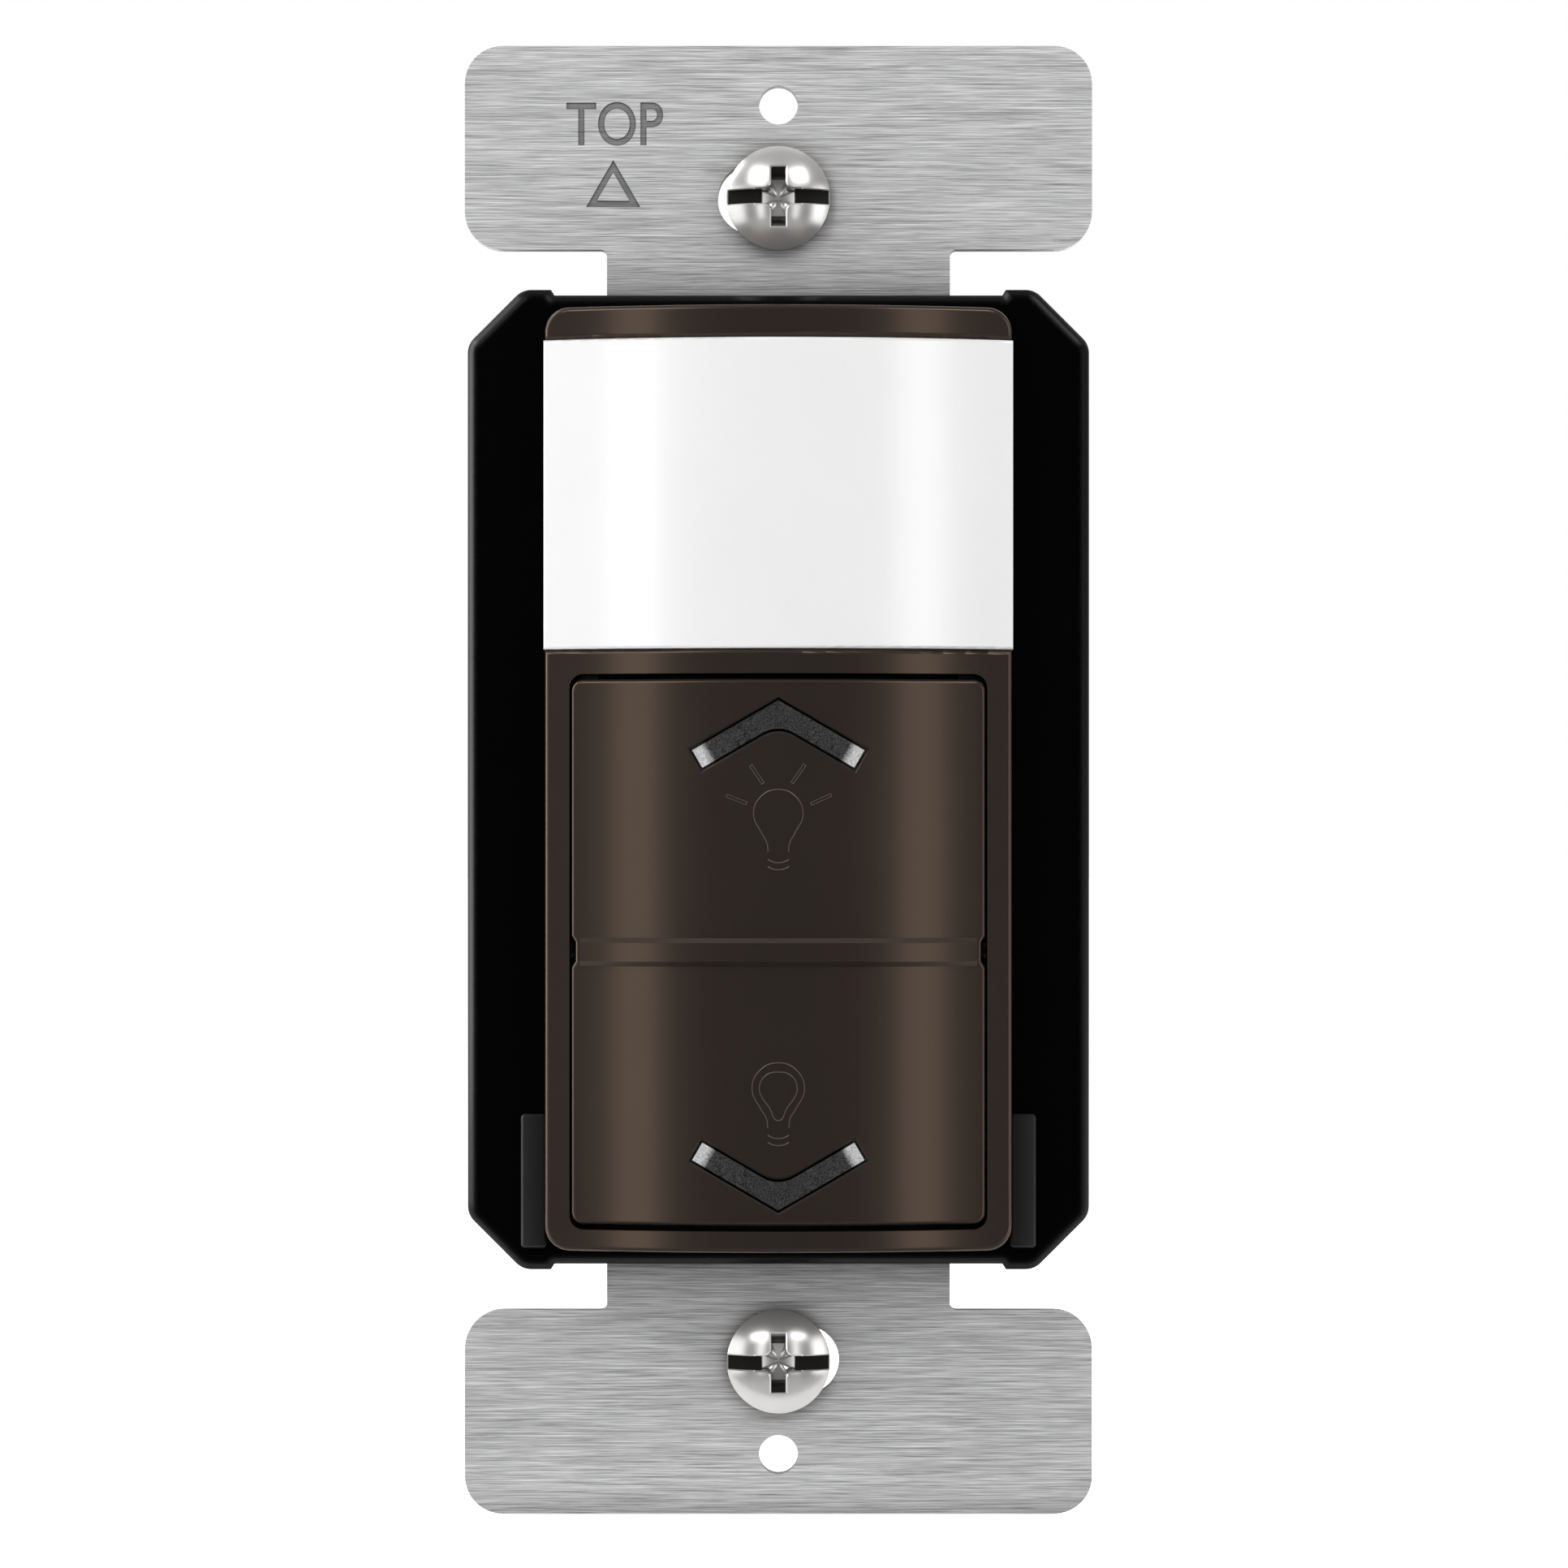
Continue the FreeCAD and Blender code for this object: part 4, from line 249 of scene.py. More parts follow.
def grain(tree, shader, size, depth, light, dark):
    """Grain of the given size and depth in mm, and a colour that drifts between two hexes."""
    fine = add_node(tree, "ShaderNodeTexNoise",
                    {"Vector": millimetres(tree), "Scale": 1 / size, "Detail": 2.0})
    bump = add_node(tree, "ShaderNodeBump",
                    {"Strength": 1.0, "Distance": depth / 1000, "Height": fine.outputs[0]})
    tree.links.new(bump.outputs[0], shader.inputs["Normal"])
    cloud = add_node(tree, "ShaderNodeTexNoise",
                     {"Vector": millimetres(tree), "Scale": CLOUDS_PER_MM, "Detail": 3.0})
    # nearly all of the noise lies between a quarter and three quarters
    drift = add_node(tree, "ShaderNodeMapRange", {0: cloud.outputs[0], 1: 0.25, 2: 0.75})
    tone = add_node(tree, "ShaderNodeMix",
                    {0: drift.outputs[0], 6: hex_colour(light), 7: hex_colour(dark)},
                    data_type="RGBA")
    tree.links.new(tone.outputs[2], shader.inputs["Base Color"])


def dress(material, *names):
    """Gives these nodes of the frame the material."""
    for name in names:
        slots = nodes[name].data.materials
        slots.clear()
        slots.append(material)


# the eroded grain spreads the light, so the black looks dull and goes grey where it slants
polyester, tree, shader = new_material("black glass-filled polyester", Roughness=0.5,
                                       Specular_IOR_Level=0.5)
grain(tree, shader, 0.25, 0.012, "171717", "101010")
dress(polyester, "rear_housing")

# Case screws.
# Four pan head screws of zinc plated steel, deep in their counterbores. Like screws hold the
# boards and the power transistor.

# the bright zinc is slightly blue, with a soft shine
zinc, tree, shader = new_material("zinc plated steel", Metallic=1.0, Roughness=0.3)
grain(tree, shader, 0.4, 0.004, "B9BDC1", "9DA3AA")
dress(zinc, "case_screws", "board_screws", "transistor_screw")

# Terminals.
# Stamped brass plates with brass binding screws for line and load, tin plated ones for neutral,
# and a green dyed screw for ground. Each plate is pressed into the floor of its wire channel.

# rolled brass is yellow and shines softly
brass, tree, shader = new_material("bright brass", Metallic=1.0, Roughness=0.3)
grain(tree, shader, 0.5, 0.003, "C2A468", "AE8E52")
dress(brass, "line_terminal", "load_terminal", "line_screw", "load_screw")
# tin is nearly white and a little duller than nickel
tin, tree, shader = new_material("tin plated brass", Metallic=1.0, Roughness=0.32)
grain(tree, shader, 0.5, 0.003, "C9C9C4", "B2B2AE")
dress(tin, "neutral_terminal", "neutral_screw")
# the dye lets the steel shine through, so the green is metallic
green, tree, shader = new_material("green dyed steel", Metallic=0.8, Roughness=0.32)
grain(tree, shader, 0.4, 0.003, "3A7A4C", "2C653C")
dress(green, "ground_screw")

# Boards.
# Two boards of glass epoxy laminate, one behind the face and one at the back of the housing,
# with the parts that the dimmer needs soldered to them.

# the lacquer is a glossy green, slightly uneven over the glass cloth
laminate, tree, shader = new_material("green solder mask", Roughness=0.3, Specular_IOR_Level=0.5)
grain(tree, shader, 0.6, 0.006, "1D5A33", "16492A")
dress(laminate, "front_board", "power_board")
# filled epoxy comes out of its mould matt and black
thermoset, tree, shader = new_material("black moulded epoxy", Roughness=0.45)
grain(tree, shader, 0.15, 0.006, "1E1E1F", "151515")
dress(thermoset, "switch_body_up", "switch_body_down", "switch_plunger_up",
      "switch_plunger_down", "sensor_shroud", "board_header", "power_transistor")
# drawn sheet with a bright, warm plating
can, tree, shader = new_material("nickel plated can", Metallic=1.0, Roughness=0.25)
grain(tree, shader, 0.4, 0.002, "CFCCC4", "B9B6AE")
dress(can, "pir_sensor")
# cast resin is smooth, and whitened so that it spreads the light
lamp_resin, tree, shader = new_material("milky lamp resin", Roughness=0.2, IOR=1.54)
grain(tree, shader, 0.5, 0.002, "ECEAE2", "E0DED6")
dress(lamp_resin, "led_up", "led_down")
# sintered ferrite is rough, dark grey and without shine
ferrite, tree, shader = new_material("sintered ferrite", Roughness=0.65)
grain(tree, shader, 0.12, 0.01, "2B2A2A", "211F1F")
dress(ferrite, "choke_core")
# the enamel lets the copper shine through in a warm red
copper, tree, shader = new_material("enamelled copper wire", Metallic=1.0, Roughness=0.28)
grain(tree, shader, 0.35, 0.02, "C06A3A", "A4532A")
dress(copper, "choke_winding")
# a moulded case filled with epoxy, smooth and strong in colour
film, tree, shader = new_material("yellow epoxy case", Roughness=0.35)
grain(tree, shader, 0.3, 0.004, "D9A83A", "CC9A2E")
dress(film, "film_capacitor")
# the shrunk sleeve is taut and glossy
sleeve, tree, shader = new_material("black heat-shrunk sleeve", Roughness=0.3)
grain(tree, shader, 0.5, 0.004, "1C1C20", "141417")
dress(sleeve, "electrolytic_capacitor")
# dipping leaves a thick, slightly wavy gloss
blue, tree, shader = new_material("blue dipped epoxy", Roughness=0.3)
grain(tree, shader, 0.8, 0.02, "2B4F93", "234380")
dress(blue, "varistor")
# filled silicone is soft and fully matt
silicone, tree, shader = new_material("grey silicone pad", Roughness=0.8)
grain(tree, shader, 0.2, 0.01, "8F9090", "7D7E7F")
dress(silicone, "thermal_pad")

# Screw retainers.
# Natural nylon washers pressed over the necks of the box screws, behind the strap. They keep
# the screws in their slots.

# undyed nylon is a waxy cream
nylon, tree, shader = new_material("natural nylon", Roughness=0.45)
grain(tree, shader, 0.3, 0.004, "E4E0D2", "DAD5C6")
dress(nylon, "screw_retainer_top", "screw_retainer_bottom")


# Mounting strap.
# Galvanised steel sheet, 1.5 mm, blanked and bent in one press tool, then brushed along its
# width. The word and the triangle that mark its upper end are stamped in by the same tool.

# Real brushed lines are 0.02 to 0.05 mm wide. These are drawn 0.05 mm wide, which still shows,
# and about 5 mm long, with finer hairs between them.
LINES_LONG, LINES_ACROSS = 0.19, 20.0
HAIRS_LONG, HAIRS_ACROSS, HAIRS_SHARE = 0.38, 44.0, 0.8
STREAK_DARK, STREAK_LIGHT = 0.66, 1.12
BRUSHED_DEPTH = 0.00001
SHADE_REACH = 0.003


def brushed(name, dark, light, **surface):
    """Steel with fine brushed lines along X, between a dark and a light tone."""
    # brushing greys the zinc, so the metal isn't a full mirror
    made, tree, shader = new_material(name, Metallic=0.47, **surface)
    lines = add_node(tree, "ShaderNodeTexNoise",
                     {"Vector": millimetres(tree, LINES_LONG, 1.0, LINES_ACROSS), "Scale": 1.0,
                      "Detail": 3.0, "Roughness": 0.7})
    hairs = add_node(tree, "ShaderNodeTexNoise",
                     {"Vector": millimetres(tree, HAIRS_LONG, 1.0, HAIRS_ACROSS), "Scale": 1.0,
                      "Detail": 2.0})
    weight = add_node(tree, "ShaderNodeMath", {0: hairs.outputs[0], 1: HAIRS_SHARE},
                      operation="MULTIPLY")
    streak = add_node(tree, "ShaderNodeMath", {0: lines.outputs[0], 1: weight.outputs[0]},
                      operation="ADD")
    spread = add_node(tree, "ShaderNodeMapRange",
                      {0: streak.outputs[0], 1: STREAK_DARK, 2: STREAK_LIGHT})
    tone = add_node(tree, "ShaderNodeMix",
                    {0: spread.outputs[0], 6: hex_colour(dark), 7: hex_colour(light)},
                    data_type="RGBA")
    # painted shade: the colour darkens close to what stands on the sheet
    corner = add_node(tree, "ShaderNodeAmbientOcclusion",
                      {"Color": tone.outputs[2], "Distance": SHADE_REACH}, samples=6)
    tree.links.new(corner.outputs["Color"], shader.inputs["Base Color"])
    bump = add_node(tree, "ShaderNodeBump",
                    {"Strength": 0.6, "Distance": BRUSHED_DEPTH, "Height": lines.outputs[0]})
    tree.links.new(bump.outputs[0], shader.inputs["Normal"])
    return made


steel = brushed("brushed steel", "888889", "FCFCFC", Roughness=0.42)
etched = brushed("stamped steel", "6E6E6F", "A8A8A8", Roughness=0.5)

FLAT_AREA = 2e-8
SQUARE_ON = 0.99999


def finished(name, shape, materials, body, sharp=32):
    """Makes the bmesh an object in place: smooth, apart from edges sharper than the angle.

    Faces of some size that look squarely along an axis are kept flat.
    """
    made = bpy.data.meshes.new(name)
    shape.to_mesh(made)
    shape.free()
    made.shade_smooth()
    made.set_sharp_from_angle(angle=math.radians(sharp))
    for face in made.polygons:
        if max(abs(c) for c in face.normal) > SQUARE_ON and face.area > FLAT_AREA:
            face.use_smooth = False
    for one in materials:
        made.materials.append(one)
    piece = bpy.data.objects.new(name, made)
    bpy.context.scene.collection.objects.link(piece)
    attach(piece, body)
    return piece


def welded(node):
    """A bmesh of the node with its triangles joined and its flat faces made whole."""
    shape = bmesh.new()
    shape.from_mesh(nodes[node].data)
    bmesh.ops.remove_doubles(shape, verts=shape.verts, dist=1e-6)
    bmesh.ops.dissolve_limit(shape, angle_limit=math.radians(0.4), verts=shape.verts,
                             edges=shape.edges)
    return shape


def carved(shape, cutters):
    """The bmesh with the cutters' bmeshes cut out of it."""
    ends = []
    for part in [shape] + cutters:
        plain = bpy.data.meshes.new("carving")
        part.to_mesh(plain)
        part.free()
        ends.append(bpy.data.objects.new("carving", plain))
        bpy.context.scene.collection.objects.link(ends[-1])
    for tool in ends[1:]:
        cut = ends[0].modifiers.new("cut", "BOOLEAN")
        cut.operation = "DIFFERENCE"
        cut.solver = "EXACT"
        cut.object = tool
    result = bmesh.new()
    result.from_object(ends[0], bpy.context.evaluated_depsgraph_get())
    for end in ends:
        bpy.data.objects.remove(end)
    return result


STRAP_EDGE = 0.0001
EDGE_ANGLE = math.radians(60)
shape = welded("mounting_strap")
rims = [e for e in shape.edges if len(e.link_faces) == 2 and e.calc_face_angle() > EDGE_ANGLE]
bmesh.ops.bevel(shape, geom=rims, offset=STRAP_EDGE, segments=2, profile=0.5, affect="EDGES",
                material=-1, clamp_overlap=True)


def traced(curve):
    """A bmesh of a curve or of lettering, which is made mesh before it is placed."""
    holder = bpy.data.objects.new("holder", curve)
    bpy.context.scene.collection.objects.link(holder)
    evaluated = holder.evaluated_get(bpy.context.evaluated_depsgraph_get())
    plain = bpy.data.meshes.new_from_object(evaluated)
    bpy.data.objects.remove(holder)
    result = bmesh.new()
    result.from_mesh(plain)
    bpy.data.meshes.remove(plain)
    bmesh.ops.remove_doubles(result, verts=result.verts, dist=1e-7)
    return result


MARK_DEPTH = 0.00012
WORD_WIDTH, WORD_HEIGHT = 0.00693, 0.00314
WORD_PLACE = (-0.01174, -STRAP_FRONT, 0.04706)
LETTER_SIZE, LETTER_SWELL = 0.0043, 0.00005
lettering = bpy.data.curves.new("top_lettering", "FONT")
lettering.body = "TOP"
lettering.size = LETTER_SIZE
lettering.extrude = MARK_DEPTH
lettering.offset = LETTER_SWELL
lettering.align_x = "CENTER"
letters = traced(lettering)
low = Vector([min(v.co[i] for v in letters.verts) for i in range(3)])
high = Vector([max(v.co[i] for v in letters.verts) for i in range(3)])
bmesh.ops.translate(letters, verts=letters.verts, vec=-(low + high) / 2)
bmesh.ops.scale(letters, verts=letters.verts,
                vec=(WORD_WIDTH / (high.x - low.x), WORD_HEIGHT / (high.y - low.y), 1))
upright = Matrix.Rotation(math.radians(90), 3, "X")
bmesh.ops.rotate(letters, verts=letters.verts, cent=(0, 0, 0), matrix=upright)
bmesh.ops.translate(letters, verts=letters.verts, vec=WORD_PLACE)

# the triangle is a flat ring of three sides, made as thick as the letters
TRIANGLE_SIDE, TRIANGLE_LINE = 0.0039, 0.00045
TRIANGLE_PLACE = (-0.01185, -STRAP_FRONT, 0.04222)
outer_reach = TRIANGLE_SIDE / math.sqrt(3)
triangle = bmesh.new()
for reach in (outer_reach, outer_reach - 2 * TRIANGLE_LINE):
    bmesh.ops.create_circle(triangle, segments=3, radius=reach)
bmesh.ops.bridge_loops(triangle, edges=triangle.edges)
bmesh.ops.translate(triangle, verts=triangle.verts, vec=(0, 0, -MARK_DEPTH))
raised = bmesh.ops.extrude_face_region(triangle, geom=triangle.faces)["geom"]
bmesh.ops.translate(triangle, verts=[v for v in raised if isinstance(v, bmesh.types.BMVert)],
                    vec=(0, 0, 2 * MARK_DEPTH))
bmesh.ops.recalc_face_normals(triangle, faces=triangle.faces)
bmesh.ops.rotate(triangle, verts=triangle.verts, cent=(0, 0, 0), matrix=upright)
bmesh.ops.translate(triangle, verts=triangle.verts, vec=TRIANGLE_PLACE)

MARKS_LOWEST, MARKS_RIGHT = 0.0405, -0.0075
shape = carved(shape, [letters, triangle])
for face in shape.faces:
    middle = face.calc_center_median()
    depth = middle.y + STRAP_FRONT
    sunk = MARK_DEPTH * 0.2 < depth < MARK_DEPTH * 1.5
    if sunk and middle.z > MARKS_LOWEST and middle.x < MARKS_RIGHT:
        face.material_index = 1
strap = finished("strap", shape, [steel, etched], "base", sharp=20)
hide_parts("mounting_strap")

# Front cover.
# Black polycarbonate moulded in a polished tool. Its cut corners and bevelled rim stand round the
# face, and posts behind it take the case screws.
COVER_EDGE_ROUND = 0.0006

# deep black with a satin shine, which the slightly rounded edges of the bevel catch
cover_plastic, tree, shader = new_material("black satin polycarbonate", Roughness=0.16,
                                           Specular_IOR_Level=0.18)
grain(tree, shader, 0.2, 0.0006, "030303", "020202")
worn = add_node(tree, "ShaderNodeBevel", {"Radius": COVER_EDGE_ROUND})
cover_bump = shader.inputs["Normal"].links[0].from_node
tree.links.new(worn.outputs[0], cover_bump.inputs["Normal"])
dress(cover_plastic, "front_cover")

# Bezel and rocker.
# Dark brown polycarbonate, moulded with a satin gloss. The bezel snaps into the cover, and the
# rocker hangs in it on two pins.

# its reflections are warm, so the two lamp bands down the crown look bronze
face_plastic, tree, shader = new_material("brown satin polycarbonate", Roughness=0.2,
                                          Specular_IOR_Level=0.55,
                                          Specular_Tint=hex_colour("FFD9BE"))
grain(tree, shader, 0.12, 0.0002, "2A2521", "282320")
dress(face_plastic, "bezel", "rocker")

# Bulb signs.
# Two small signs moulded on the rocker in fine beads, a lit bulb above and a dim one below. All
# their points are in mm on the face.
CROWN_DEPTH = 0.0104
CROWN_RADIUS = 0.046875
BEAD = 0.00004
RAY_HALF = 0.1


def on_crown(x, z):
    """The point of the face at x and z in mm."""
    x, z = x / 1000, z / 1000
    fall = CROWN_RADIUS - math.sqrt(CROWN_RADIUS ** 2 - x ** 2)
    return Vector((x, fall - CROWN_DEPTH, z))


def bulb(middle, radius, neck, foot):
    """The line of a bulb's glass, from one side of its neck over the top to the other."""
    side = [(neck, foot), (neck * 1.12, foot + radius * 0.36),
            (radius * 0.66, middle - radius * 0.78), (radius, middle),
            (radius * 0.707, middle + radius * 0.707)]
    return [(-x, z) for x, z in side] + [(0, middle + radius)] + side[::-1]


def cap(foot, half):
    """The two curved lines of a bulb's cap."""
    return [[(-half, z + 0.1), (-half * 0.6, z - 0.05), (0, z - 0.12), (half * 0.6, z - 0.05),
             (half, z + 0.1)] for z in (foot - 0.62, foot - 1.12)]


def ray(x0, z0, x1, z1):
    """The closed line round a short thin stroke."""
    length = math.hypot(x1 - x0, z1 - z0)
    aside, up = RAY_HALF * (z1 - z0) / length, -RAY_HALF * (x1 - x0) / length
    return [(x0 + aside, z0 + up), (x1 + aside, z1 + up), (x1 - aside, z1 - up),
            (x0 - aside, z0 - up), (x0 + aside, z0 + up)]


rays = [ray(-1.92, 0.92, -1.08, -0.34), ray(1.86, 0.96, 0.98, -0.30),
        ray(-3.62, -1.20, -2.22, -1.74), ray(3.70, -1.15, 2.30, -1.79)]
pear = [(0, -24.0), (-0.62, -23.1), (-1.15, -22.35), (-1.33, -21.75), (-0.97, -20.9),
        (0, -20.59), (0.97, -20.9), (1.33, -21.75), (1.15, -22.35), (0.62, -23.1)]

# the beads are duller than the face and painted lighter, a painted highlight along each line
bead_plastic, tree, shader = new_material("brown polycarbonate bead", Roughness=0.3)
grain(tree, shader, 0.12, 0.0004, "4C453F", "463F3A")
for name, lines in (
    ("lit_bulb_sign", [bulb(-2.50, 1.74, 0.71, -5.16)] + cap(-5.16, 0.74) + rays),
    ("dim_bulb_sign", [bulb(-21.78, 1.84, 0.74, -24.51)] + cap(-24.51, 0.74) + [pear + pear[:1]]),
):
    path = bpy.data.curves.new(name, "CURVE")
    path.dimensions = "3D"
    path.bevel_depth = BEAD
    path.bevel_resolution = 2
    path.resolution_u = 6
    path.use_fill_caps = True
    for line in lines:
        closed = line[0] == line[-1]
        points = line[:-1] if closed else line
        # the rays have four sharp corners, and all other lines are round
        corners = "VECTOR" if closed and len(points) == 4 else "AUTO"
        spline = path.splines.new("BEZIER")
        spline.bezier_points.add(len(points) - 1)
        spline.use_cyclic_u = closed
        for knot, (x, z) in zip(spline.bezier_points, points):
            knot.co = on_crown(x, z)
            knot.handle_left_type = knot.handle_right_type = corners
    finished(name, traced(path), [bead_plastic], "paddle")

# Lens.
# Polyethylene, thin enough to pass heat rays, with a smooth front and its ribs on the back. It
# clips over the bezel's upper window.

# milk white, with broad soft reflections
lens_plastic, tree, shader = new_material("white polyethylene", Roughness=0.18,
                                          Specular_IOR_Level=1.0)
grain(tree, shader, 0.6, 0.0006, "E9E9E9", "E7E7E7")
dress(lens_plastic, "sensor_lens")

# Light guides.
# Two chevrons of grey tinted acrylic, set into the rocker from behind, each over a small lamp.
# Their backs are speckled, and their ends are painted light, a painted glow where they end.
CHEVRON_SLOPE = math.radians(29.6)
CHEVRON_BRIGHT, RAGGED_BY, FADES_OVER = 6.1, 0.15, 0.4
CHEVRON_APEX, CHEVRON_MIDDLE = 17.9, -12.4
SPECKS_PER_MM = 10.0

# smoky acrylic under a satin shine, with specks of about 0.1 mm
acrylic, tree, shader = new_material("grey tinted acrylic", Roughness=0.3, IOR=1.49)
speck = add_node(tree, "ShaderNodeTexNoise",
                 {"Vector": millimetres(tree), "Scale": SPECKS_PER_MM, "Detail": 3.0})
speckled = add_node(tree, "ShaderNodeMapRange", {0: speck.outputs[0], 1: 0.40, 2: 0.62})
dark_part = add_node(tree, "ShaderNodeMix",
                     {0: speckled.outputs[0], 6: hex_colour("0A0A0B"), 7: hex_colour("464647")},
                     data_type="RGBA")
# the painted glow of the bright ends
painted_glow = add_node(tree, "ShaderNodeMix",
                      {0: speckled.outputs[0], 6: hex_colour("A2A2A2"), 7: hex_colour("CCCCCC")},
                      data_type="RGBA")
# the way along each arm, from its apex to its bright end
where = add_node(tree, "ShaderNodeSeparateXYZ", {0: millimetres(tree)})
across = add_node(tree, "ShaderNodeMath", {0: where.outputs["X"]}, operation="ABSOLUTE")
level = add_node(tree, "ShaderNodeMath", {0: where.outputs["Z"], 1: -CHEVRON_MIDDLE},
                 operation="ADD")
height = add_node(tree, "ShaderNodeMath", {0: level.outputs[0]}, operation="ABSOLUTE")
fall = add_node(tree, "ShaderNodeMath", {0: CHEVRON_APEX, 1: height.outputs[0]},
                operation="SUBTRACT")
fall_share = add_node(tree, "ShaderNodeMath", {0: fall.outputs[0], 1: math.sin(CHEVRON_SLOPE)},
                      operation="MULTIPLY")
along = add_node(tree, "ShaderNodeMath",
                 {0: across.outputs[0], 1: math.cos(CHEVRON_SLOPE), 2: fall_share.outputs[0]},
                 operation="MULTIPLY_ADD")
ragged = add_node(tree, "ShaderNodeMath",
                  {0: speck.outputs[0], 1: RAGGED_BY, 2: along.outputs[0]},
                  operation="MULTIPLY_ADD")
tip = add_node(tree, "ShaderNodeMapRange",
               {0: ragged.outputs[0], 1: CHEVRON_BRIGHT - RAGGED_BY,
                2: CHEVRON_BRIGHT + FADES_OVER})
tone = add_node(tree, "ShaderNodeMix",
                {0: tip.outputs[0], 6: dark_part.outputs[2], 7: painted_glow.outputs[2]},
                data_type="RGBA")
tree.links.new(tone.outputs[2], shader.inputs["Base Color"])
dress(acrylic, "chevron_up", "chevron_down")

# Latch blocks.
# Small blocks of nylon, pressed into the cover beside the foot of the bezel, which they lock.
LATCH_INNER, LATCH_OUTER = 16.6, 18.4

# dark grey and matt, with painted shade that makes it nearly black next to the bezel
grey_nylon, tree, shader = new_material("dark grey nylon", Roughness=0.5, Specular_IOR_Level=0.3)
where = add_node(tree, "ShaderNodeSeparateXYZ", {0: millimetres(tree)})
across = add_node(tree, "ShaderNodeMath", {0: where.outputs["X"]}, operation="ABSOLUTE")
# the painted shade, from the outer side in to the bezel
outer = add_node(tree, "ShaderNodeMapRange",
                 {0: across.outputs[0], 1: LATCH_INNER, 2: LATCH_OUTER})
tone = add_node(tree, "ShaderNodeMix",
                {0: outer.outputs[0], 6: hex_colour("0C0C0C"), 7: hex_colour("282828")},
                data_type="RGBA")
tree.links.new(tone.outputs[2], shader.inputs["Base Color"])
dress(grey_nylon, "latch_left", "latch_right")

# Box screws.
# Steel machine screws with a rolled thread and a low dome that takes a flat or a cross driver,
# barrel plated with nickel. Their sizes are in mm, with the strap's front at 0 and the head up.

# a warm bright plating, softened by tumbling
nickel, tree, shader = new_material("nickel plated steel", Metallic=0.7, Roughness=0.24)
grain(tree, shader, 0.5, 0.0006, "DAD9D7", "D0CFCD")
# the recess is darker: painted shade, and the plating there is also thin and dull
shaded_thin_plating, tree, shader = new_material("nickel in the recess", Metallic=1.0, Roughness=0.25)
grain(tree, shader, 0.5, 0.0008, "7C7B79", "6C6B69")

SCREW_LEVEL = 0.04167
HEAD_RADIUS, HEAD_RIM, HEAD_HEIGHT = 3.7, 0.9, 2.3
HEAD_FOOT_BEVEL = 0.12
HEAD_STEPS, ARC_STEPS = 96, 24
NECK_RADIUS, NECK_END = 1.55, -2.7
THREAD_OUTER, THREAD_INNER, THREAD_PITCH = 1.75, 1.36, 0.794
THREAD_STEPS, THREAD_BELOW_NECK, THREAD_RUN_OUT = 32, 0.2, 0.6
CORE_RADIUS, CORE_IN_NECK = THREAD_INNER + 0.02, 0.3
SCREW_TIP, TIP_BEVEL, TIP_NARROWS = -25.0, 0.35, 0.45
DOME = (HEAD_RADIUS ** 2 + (HEAD_HEIGHT - HEAD_RIM) ** 2) / (2 * (HEAD_HEIGHT - HEAD_RIM))
RECESS_RIM = 0.12
SLOT_HALF, SLOT_FLOOR, SLOT_STEPS = 0.5, 0.75, 20
SLOT_OVERRUN, SLOT_END_DROP = 0.3, 0.15
# the cross: how far it reaches across and up, half its arm's width, and its inner corners' radius
CROSS_ACROSS, CROSS_UPRIGHT, CROSS_HALF, CROSS_ROUND = 1.66, 2.12, 0.52, 0.42
CROSS_AT_FLOOR = (1.14, 1.30, 0.44, 0.40)
CROSS_AT_CONE = (0.52, 0.60, 0.20, 0.18)
PUNCH_FLOOR, CONE_TOP, CONE_TIP = 0.6, 0.44, 0.18
CLEAR_OF_CROSS, CLEAR_OF_SLOT = 0.8, 1.5
# how near a face's middle is to the head's foot, the cone's top or the head's edge to belong to it
BY_FOOT, BY_CONE, BY_EDGE = 0.05, 0.01, 0.03


def spun(profile, steps):
    """A closed solid of revolution round Z from a profile of radii and heights."""
    shape = bmesh.new()
    chain = [shape.verts.new((r, 0, z)) for r, z in profile]
    edges = [shape.edges.new(pair) for pair in zip(chain, chain[1:])]
    bmesh.ops.spin(shape, geom=chain + edges, cent=(0, 0, 0), axis=(0, 0, 1),
                   angle=math.radians(360), steps=steps, use_merge=True)
    bmesh.ops.remove_doubles(shape, verts=shape.verts, dist=1e-4)
    bmesh.ops.recalc_face_normals(shape, faces=shape.faces)
    return shape


def cross_ring(reach_x, reach_y, half, inner_round):
    """The outline of a cross with rounded inner corners, as points in order."""
    centre = half + inner_round
    bends = [math.radians(270 - 90 * i / 4) for i in range(5)]
    quarter = [(reach_x, half)]
    quarter += [(centre + inner_round * math.cos(a), centre + inner_round * math.sin(a))
                for a in bends]
    quarter += [(half, reach_y)]
    upper = quarter + [(-x, y) for x, y in reversed(quarter)]
    return upper + [(-x, -y) for x, y in upper]


def dome_height(x, y):
    """The height of the dome's outside over the strap."""
    return HEAD_HEIGHT - DOME + math.sqrt(max(DOME ** 2 - x ** 2 - y ** 2, 0))


def lofted(rings, point=None):
    """A closed solid through rings of points, which ends in a point if one is given."""
    shape = bmesh.new()
    rings = [[shape.verts.new(place) for place in ring] for ring in rings]
    count = len(rings[0])
    shape.faces.new(rings[0])
    for one, other in zip(rings, rings[1:]):
        for i in range(count):
            shape.faces.new((one[i], other[i], other[(i + 1) % count], one[(i + 1) % count]))
    if point:
        tip = shape.verts.new(point)
        for i in range(count):
            shape.faces.new((rings[-1][i], tip, rings[-1][(i + 1) % count]))
    else:
        shape.faces.new(rings[-1])
    bmesh.ops.recalc_face_normals(shape, faces=shape.faces)
    return shape


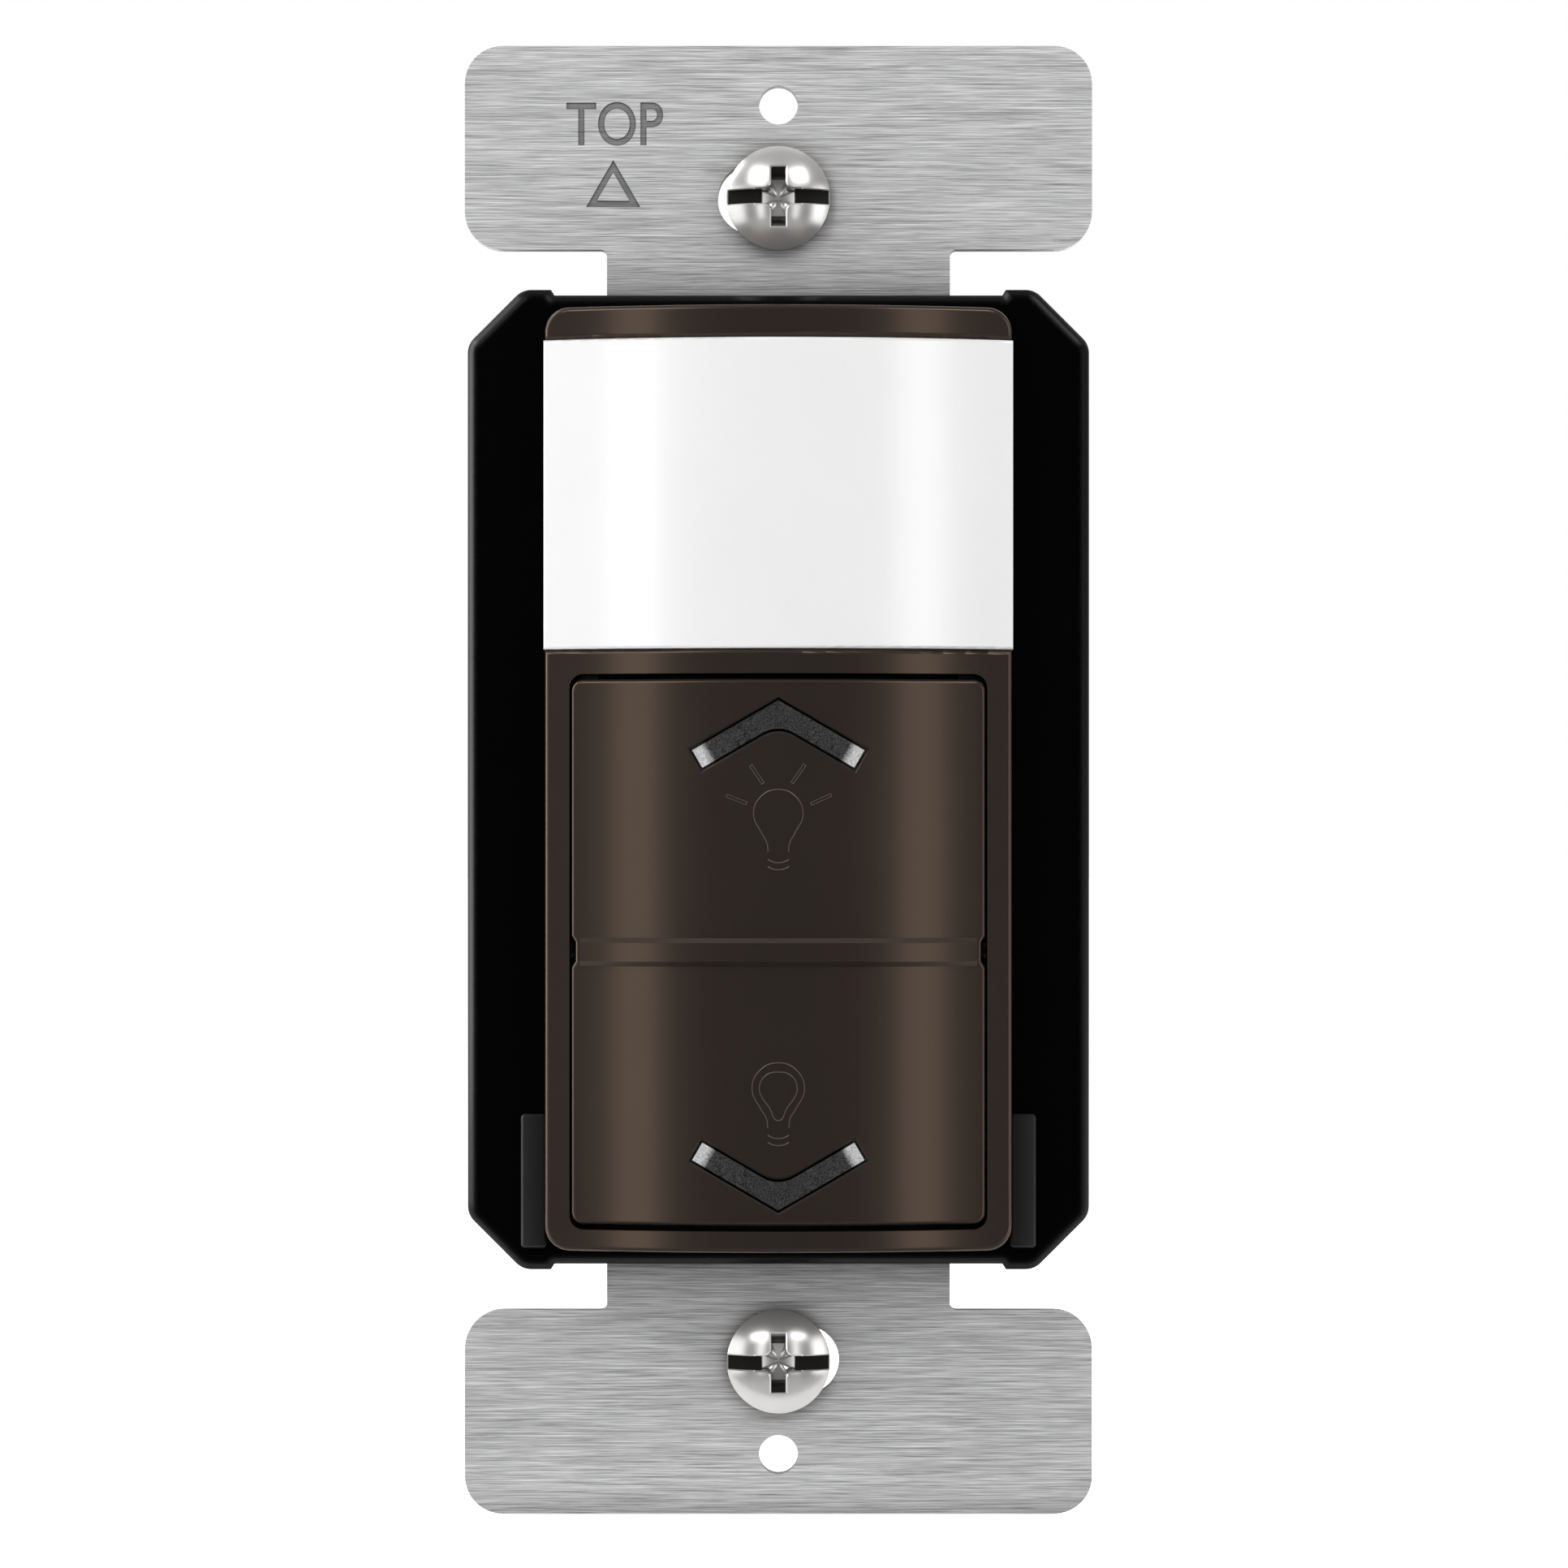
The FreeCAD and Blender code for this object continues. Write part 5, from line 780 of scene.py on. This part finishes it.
def cross_recess():
    """A cross-shaped punch with a bevelled rim on the dome, narrowing to a low cone."""
    rim = cross_ring(CROSS_ACROSS + RECESS_RIM, CROSS_UPRIGHT + RECESS_RIM,
                     CROSS_HALF + RECESS_RIM, CROSS_ROUND)
    wall = cross_ring(CROSS_ACROSS, CROSS_UPRIGHT, CROSS_HALF, CROSS_ROUND + RECESS_RIM)
    rings = [[(x, y, dome_height(x, y) + CLEAR_OF_CROSS) for x, y in rim],
             [(x, y, dome_height(x, y)) for x, y in rim],
             [(x, y, dome_height(x, y) - RECESS_RIM) for x, y in wall],
             [(x, y, PUNCH_FLOOR) for x, y in cross_ring(*CROSS_AT_FLOOR)],
             [(x, y, CONE_TOP) for x, y in cross_ring(*CROSS_AT_CONE)]]
    return lofted(rings, (0, 0, CONE_TIP))


def driver_slot():
    """A slot across the dome with bevelled rims."""
    rings = []
    for step in range(-SLOT_STEPS, SLOT_STEPS + 1):
        x = step / SLOT_STEPS * (HEAD_RADIUS + SLOT_OVERRUN)
        top = dome_height(x, 0)
        bottom = SLOT_FLOOR - (SLOT_END_DROP if abs(step) > SLOT_STEPS - 2 else 0)
        side = [(SLOT_HALF, bottom), (SLOT_HALF, top - RECESS_RIM),
                (SLOT_HALF + RECESS_RIM, top), (SLOT_HALF + RECESS_RIM, top + CLEAR_OF_SLOT)]
        rings.append([(x, y, z) for y, z in side] + [(x, -y, z) for y, z in reversed(side)])
    return lofted(rings)


def screw_head():
    """The dome with its neck and its driver's recess."""
    reach = math.asin(HEAD_RADIUS / DOME)
    turns = [reach * i / ARC_STEPS for i in range(ARC_STEPS + 1)]
    profile = [(DOME * math.sin(a), HEAD_HEIGHT - DOME * (1 - math.cos(a))) for a in turns]
    profile += [(HEAD_RADIUS, HEAD_FOOT_BEVEL), (HEAD_RADIUS - HEAD_FOOT_BEVEL, 0),
                (NECK_RADIUS, 0), (NECK_RADIUS, NECK_END), (0, NECK_END)]
    head = carved(spun(profile, HEAD_STEPS), [driver_slot(), cross_recess()])
    # the walls and the floor of the recess get the darker colour, painted shade on thin dull
    # plating; the plated outside and the cone keep the bright nickel
    for face in head.faces:
        middle = face.calc_center_median()
        radius = math.hypot(middle.x, middle.y)
        outside = middle.z < BY_FOOT or middle.z > dome_height(middle.x, middle.y) - RECESS_RIM
        cone = middle.z < PUNCH_FLOOR + BY_CONE and radius < NECK_RADIUS
        face.material_index = 0 if outside or cone or radius > HEAD_RADIUS - BY_EDGE else 1
    return head


def screw_thread():
    """A helical ridge that runs out at both ends, and its core with a bevelled tip."""
    turns = round((NECK_END - SCREW_TIP) / THREAD_PITCH) - 1
    start = NECK_END + THREAD_BELOW_NECK
    ridge = bmesh.new()
    # each corner of the ridge as its radius and its share of the pitch
    outline = [(THREAD_INNER, 0), (THREAD_OUTER, -0.34), (THREAD_OUTER, -0.5),
               (THREAD_INNER, -0.84), (THREAD_INNER, -1)]
    chain = [ridge.verts.new((r, 0, start + share * THREAD_PITCH)) for r, share in outline]
    edges = [ridge.edges.new(pair) for pair in zip(chain, chain[1:])]
    bmesh.ops.spin(ridge, geom=chain + edges, cent=(0, 0, 0), axis=(0, 0, 1),
                   dvec=(0, 0, -THREAD_PITCH / THREAD_STEPS), angle=math.radians(360) * turns,
                   steps=turns * THREAD_STEPS)
    bmesh.ops.remove_doubles(ridge, verts=ridge.verts, dist=1e-3)
    # the ridge sinks into the core over the last turn at each end
    for corner in ridge.verts:
        done = (start - corner.co.z) / THREAD_PITCH
        height = max(min(done, turns + 1 - done - THREAD_RUN_OUT, 1), 0)
        radius = math.hypot(corner.co.x, corner.co.y)
        if radius > THREAD_INNER + 0.01:
            keep = (THREAD_INNER + (radius - THREAD_INNER) * height) / radius
            corner.co.x *= keep
            corner.co.y *= keep
    ends = [e for e in ridge.edges if len(e.link_faces) == 1]
    bmesh.ops.holes_fill(ridge, edges=ends, sides=0)
    bmesh.ops.recalc_face_normals(ridge, faces=ridge.faces)
    # so long a spiral can come out of that inside out, which its signed volume shows
    if ridge.calc_volume(signed=True) < 0:
        bmesh.ops.reverse_faces(ridge, faces=ridge.faces)
    core = spun([(0, NECK_END + CORE_IN_NECK), (CORE_RADIUS, NECK_END + CORE_IN_NECK),
                 (CORE_RADIUS, SCREW_TIP + TIP_BEVEL), (THREAD_INNER - TIP_NARROWS, SCREW_TIP),
                 (0, SCREW_TIP)], THREAD_STEPS)
    return ridge, core


for which, height in (("top", SCREW_LEVEL), ("bottom", -SCREW_LEVEL)):
    whole = bmesh.new()
    for part in (screw_head(),) + screw_thread():
        plain = bpy.data.meshes.new("screw_part")
        part.to_mesh(plain)
        part.free()
        whole.from_mesh(plain)
        bpy.data.meshes.remove(plain)
    bmesh.ops.scale(whole, verts=whole.verts, vec=(0.001, 0.001, 0.001))
    bmesh.ops.rotate(whole, verts=whole.verts, cent=(0, 0, 0), matrix=upright)
    bmesh.ops.translate(whole, verts=whole.verts, vec=(0, -STRAP_FRONT, height))
    screw = finished(f"box_screw_{which}", whole, [nickel, shaded_thin_plating], f"screw_{which}")
    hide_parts(f"mounting_screw_{which}")
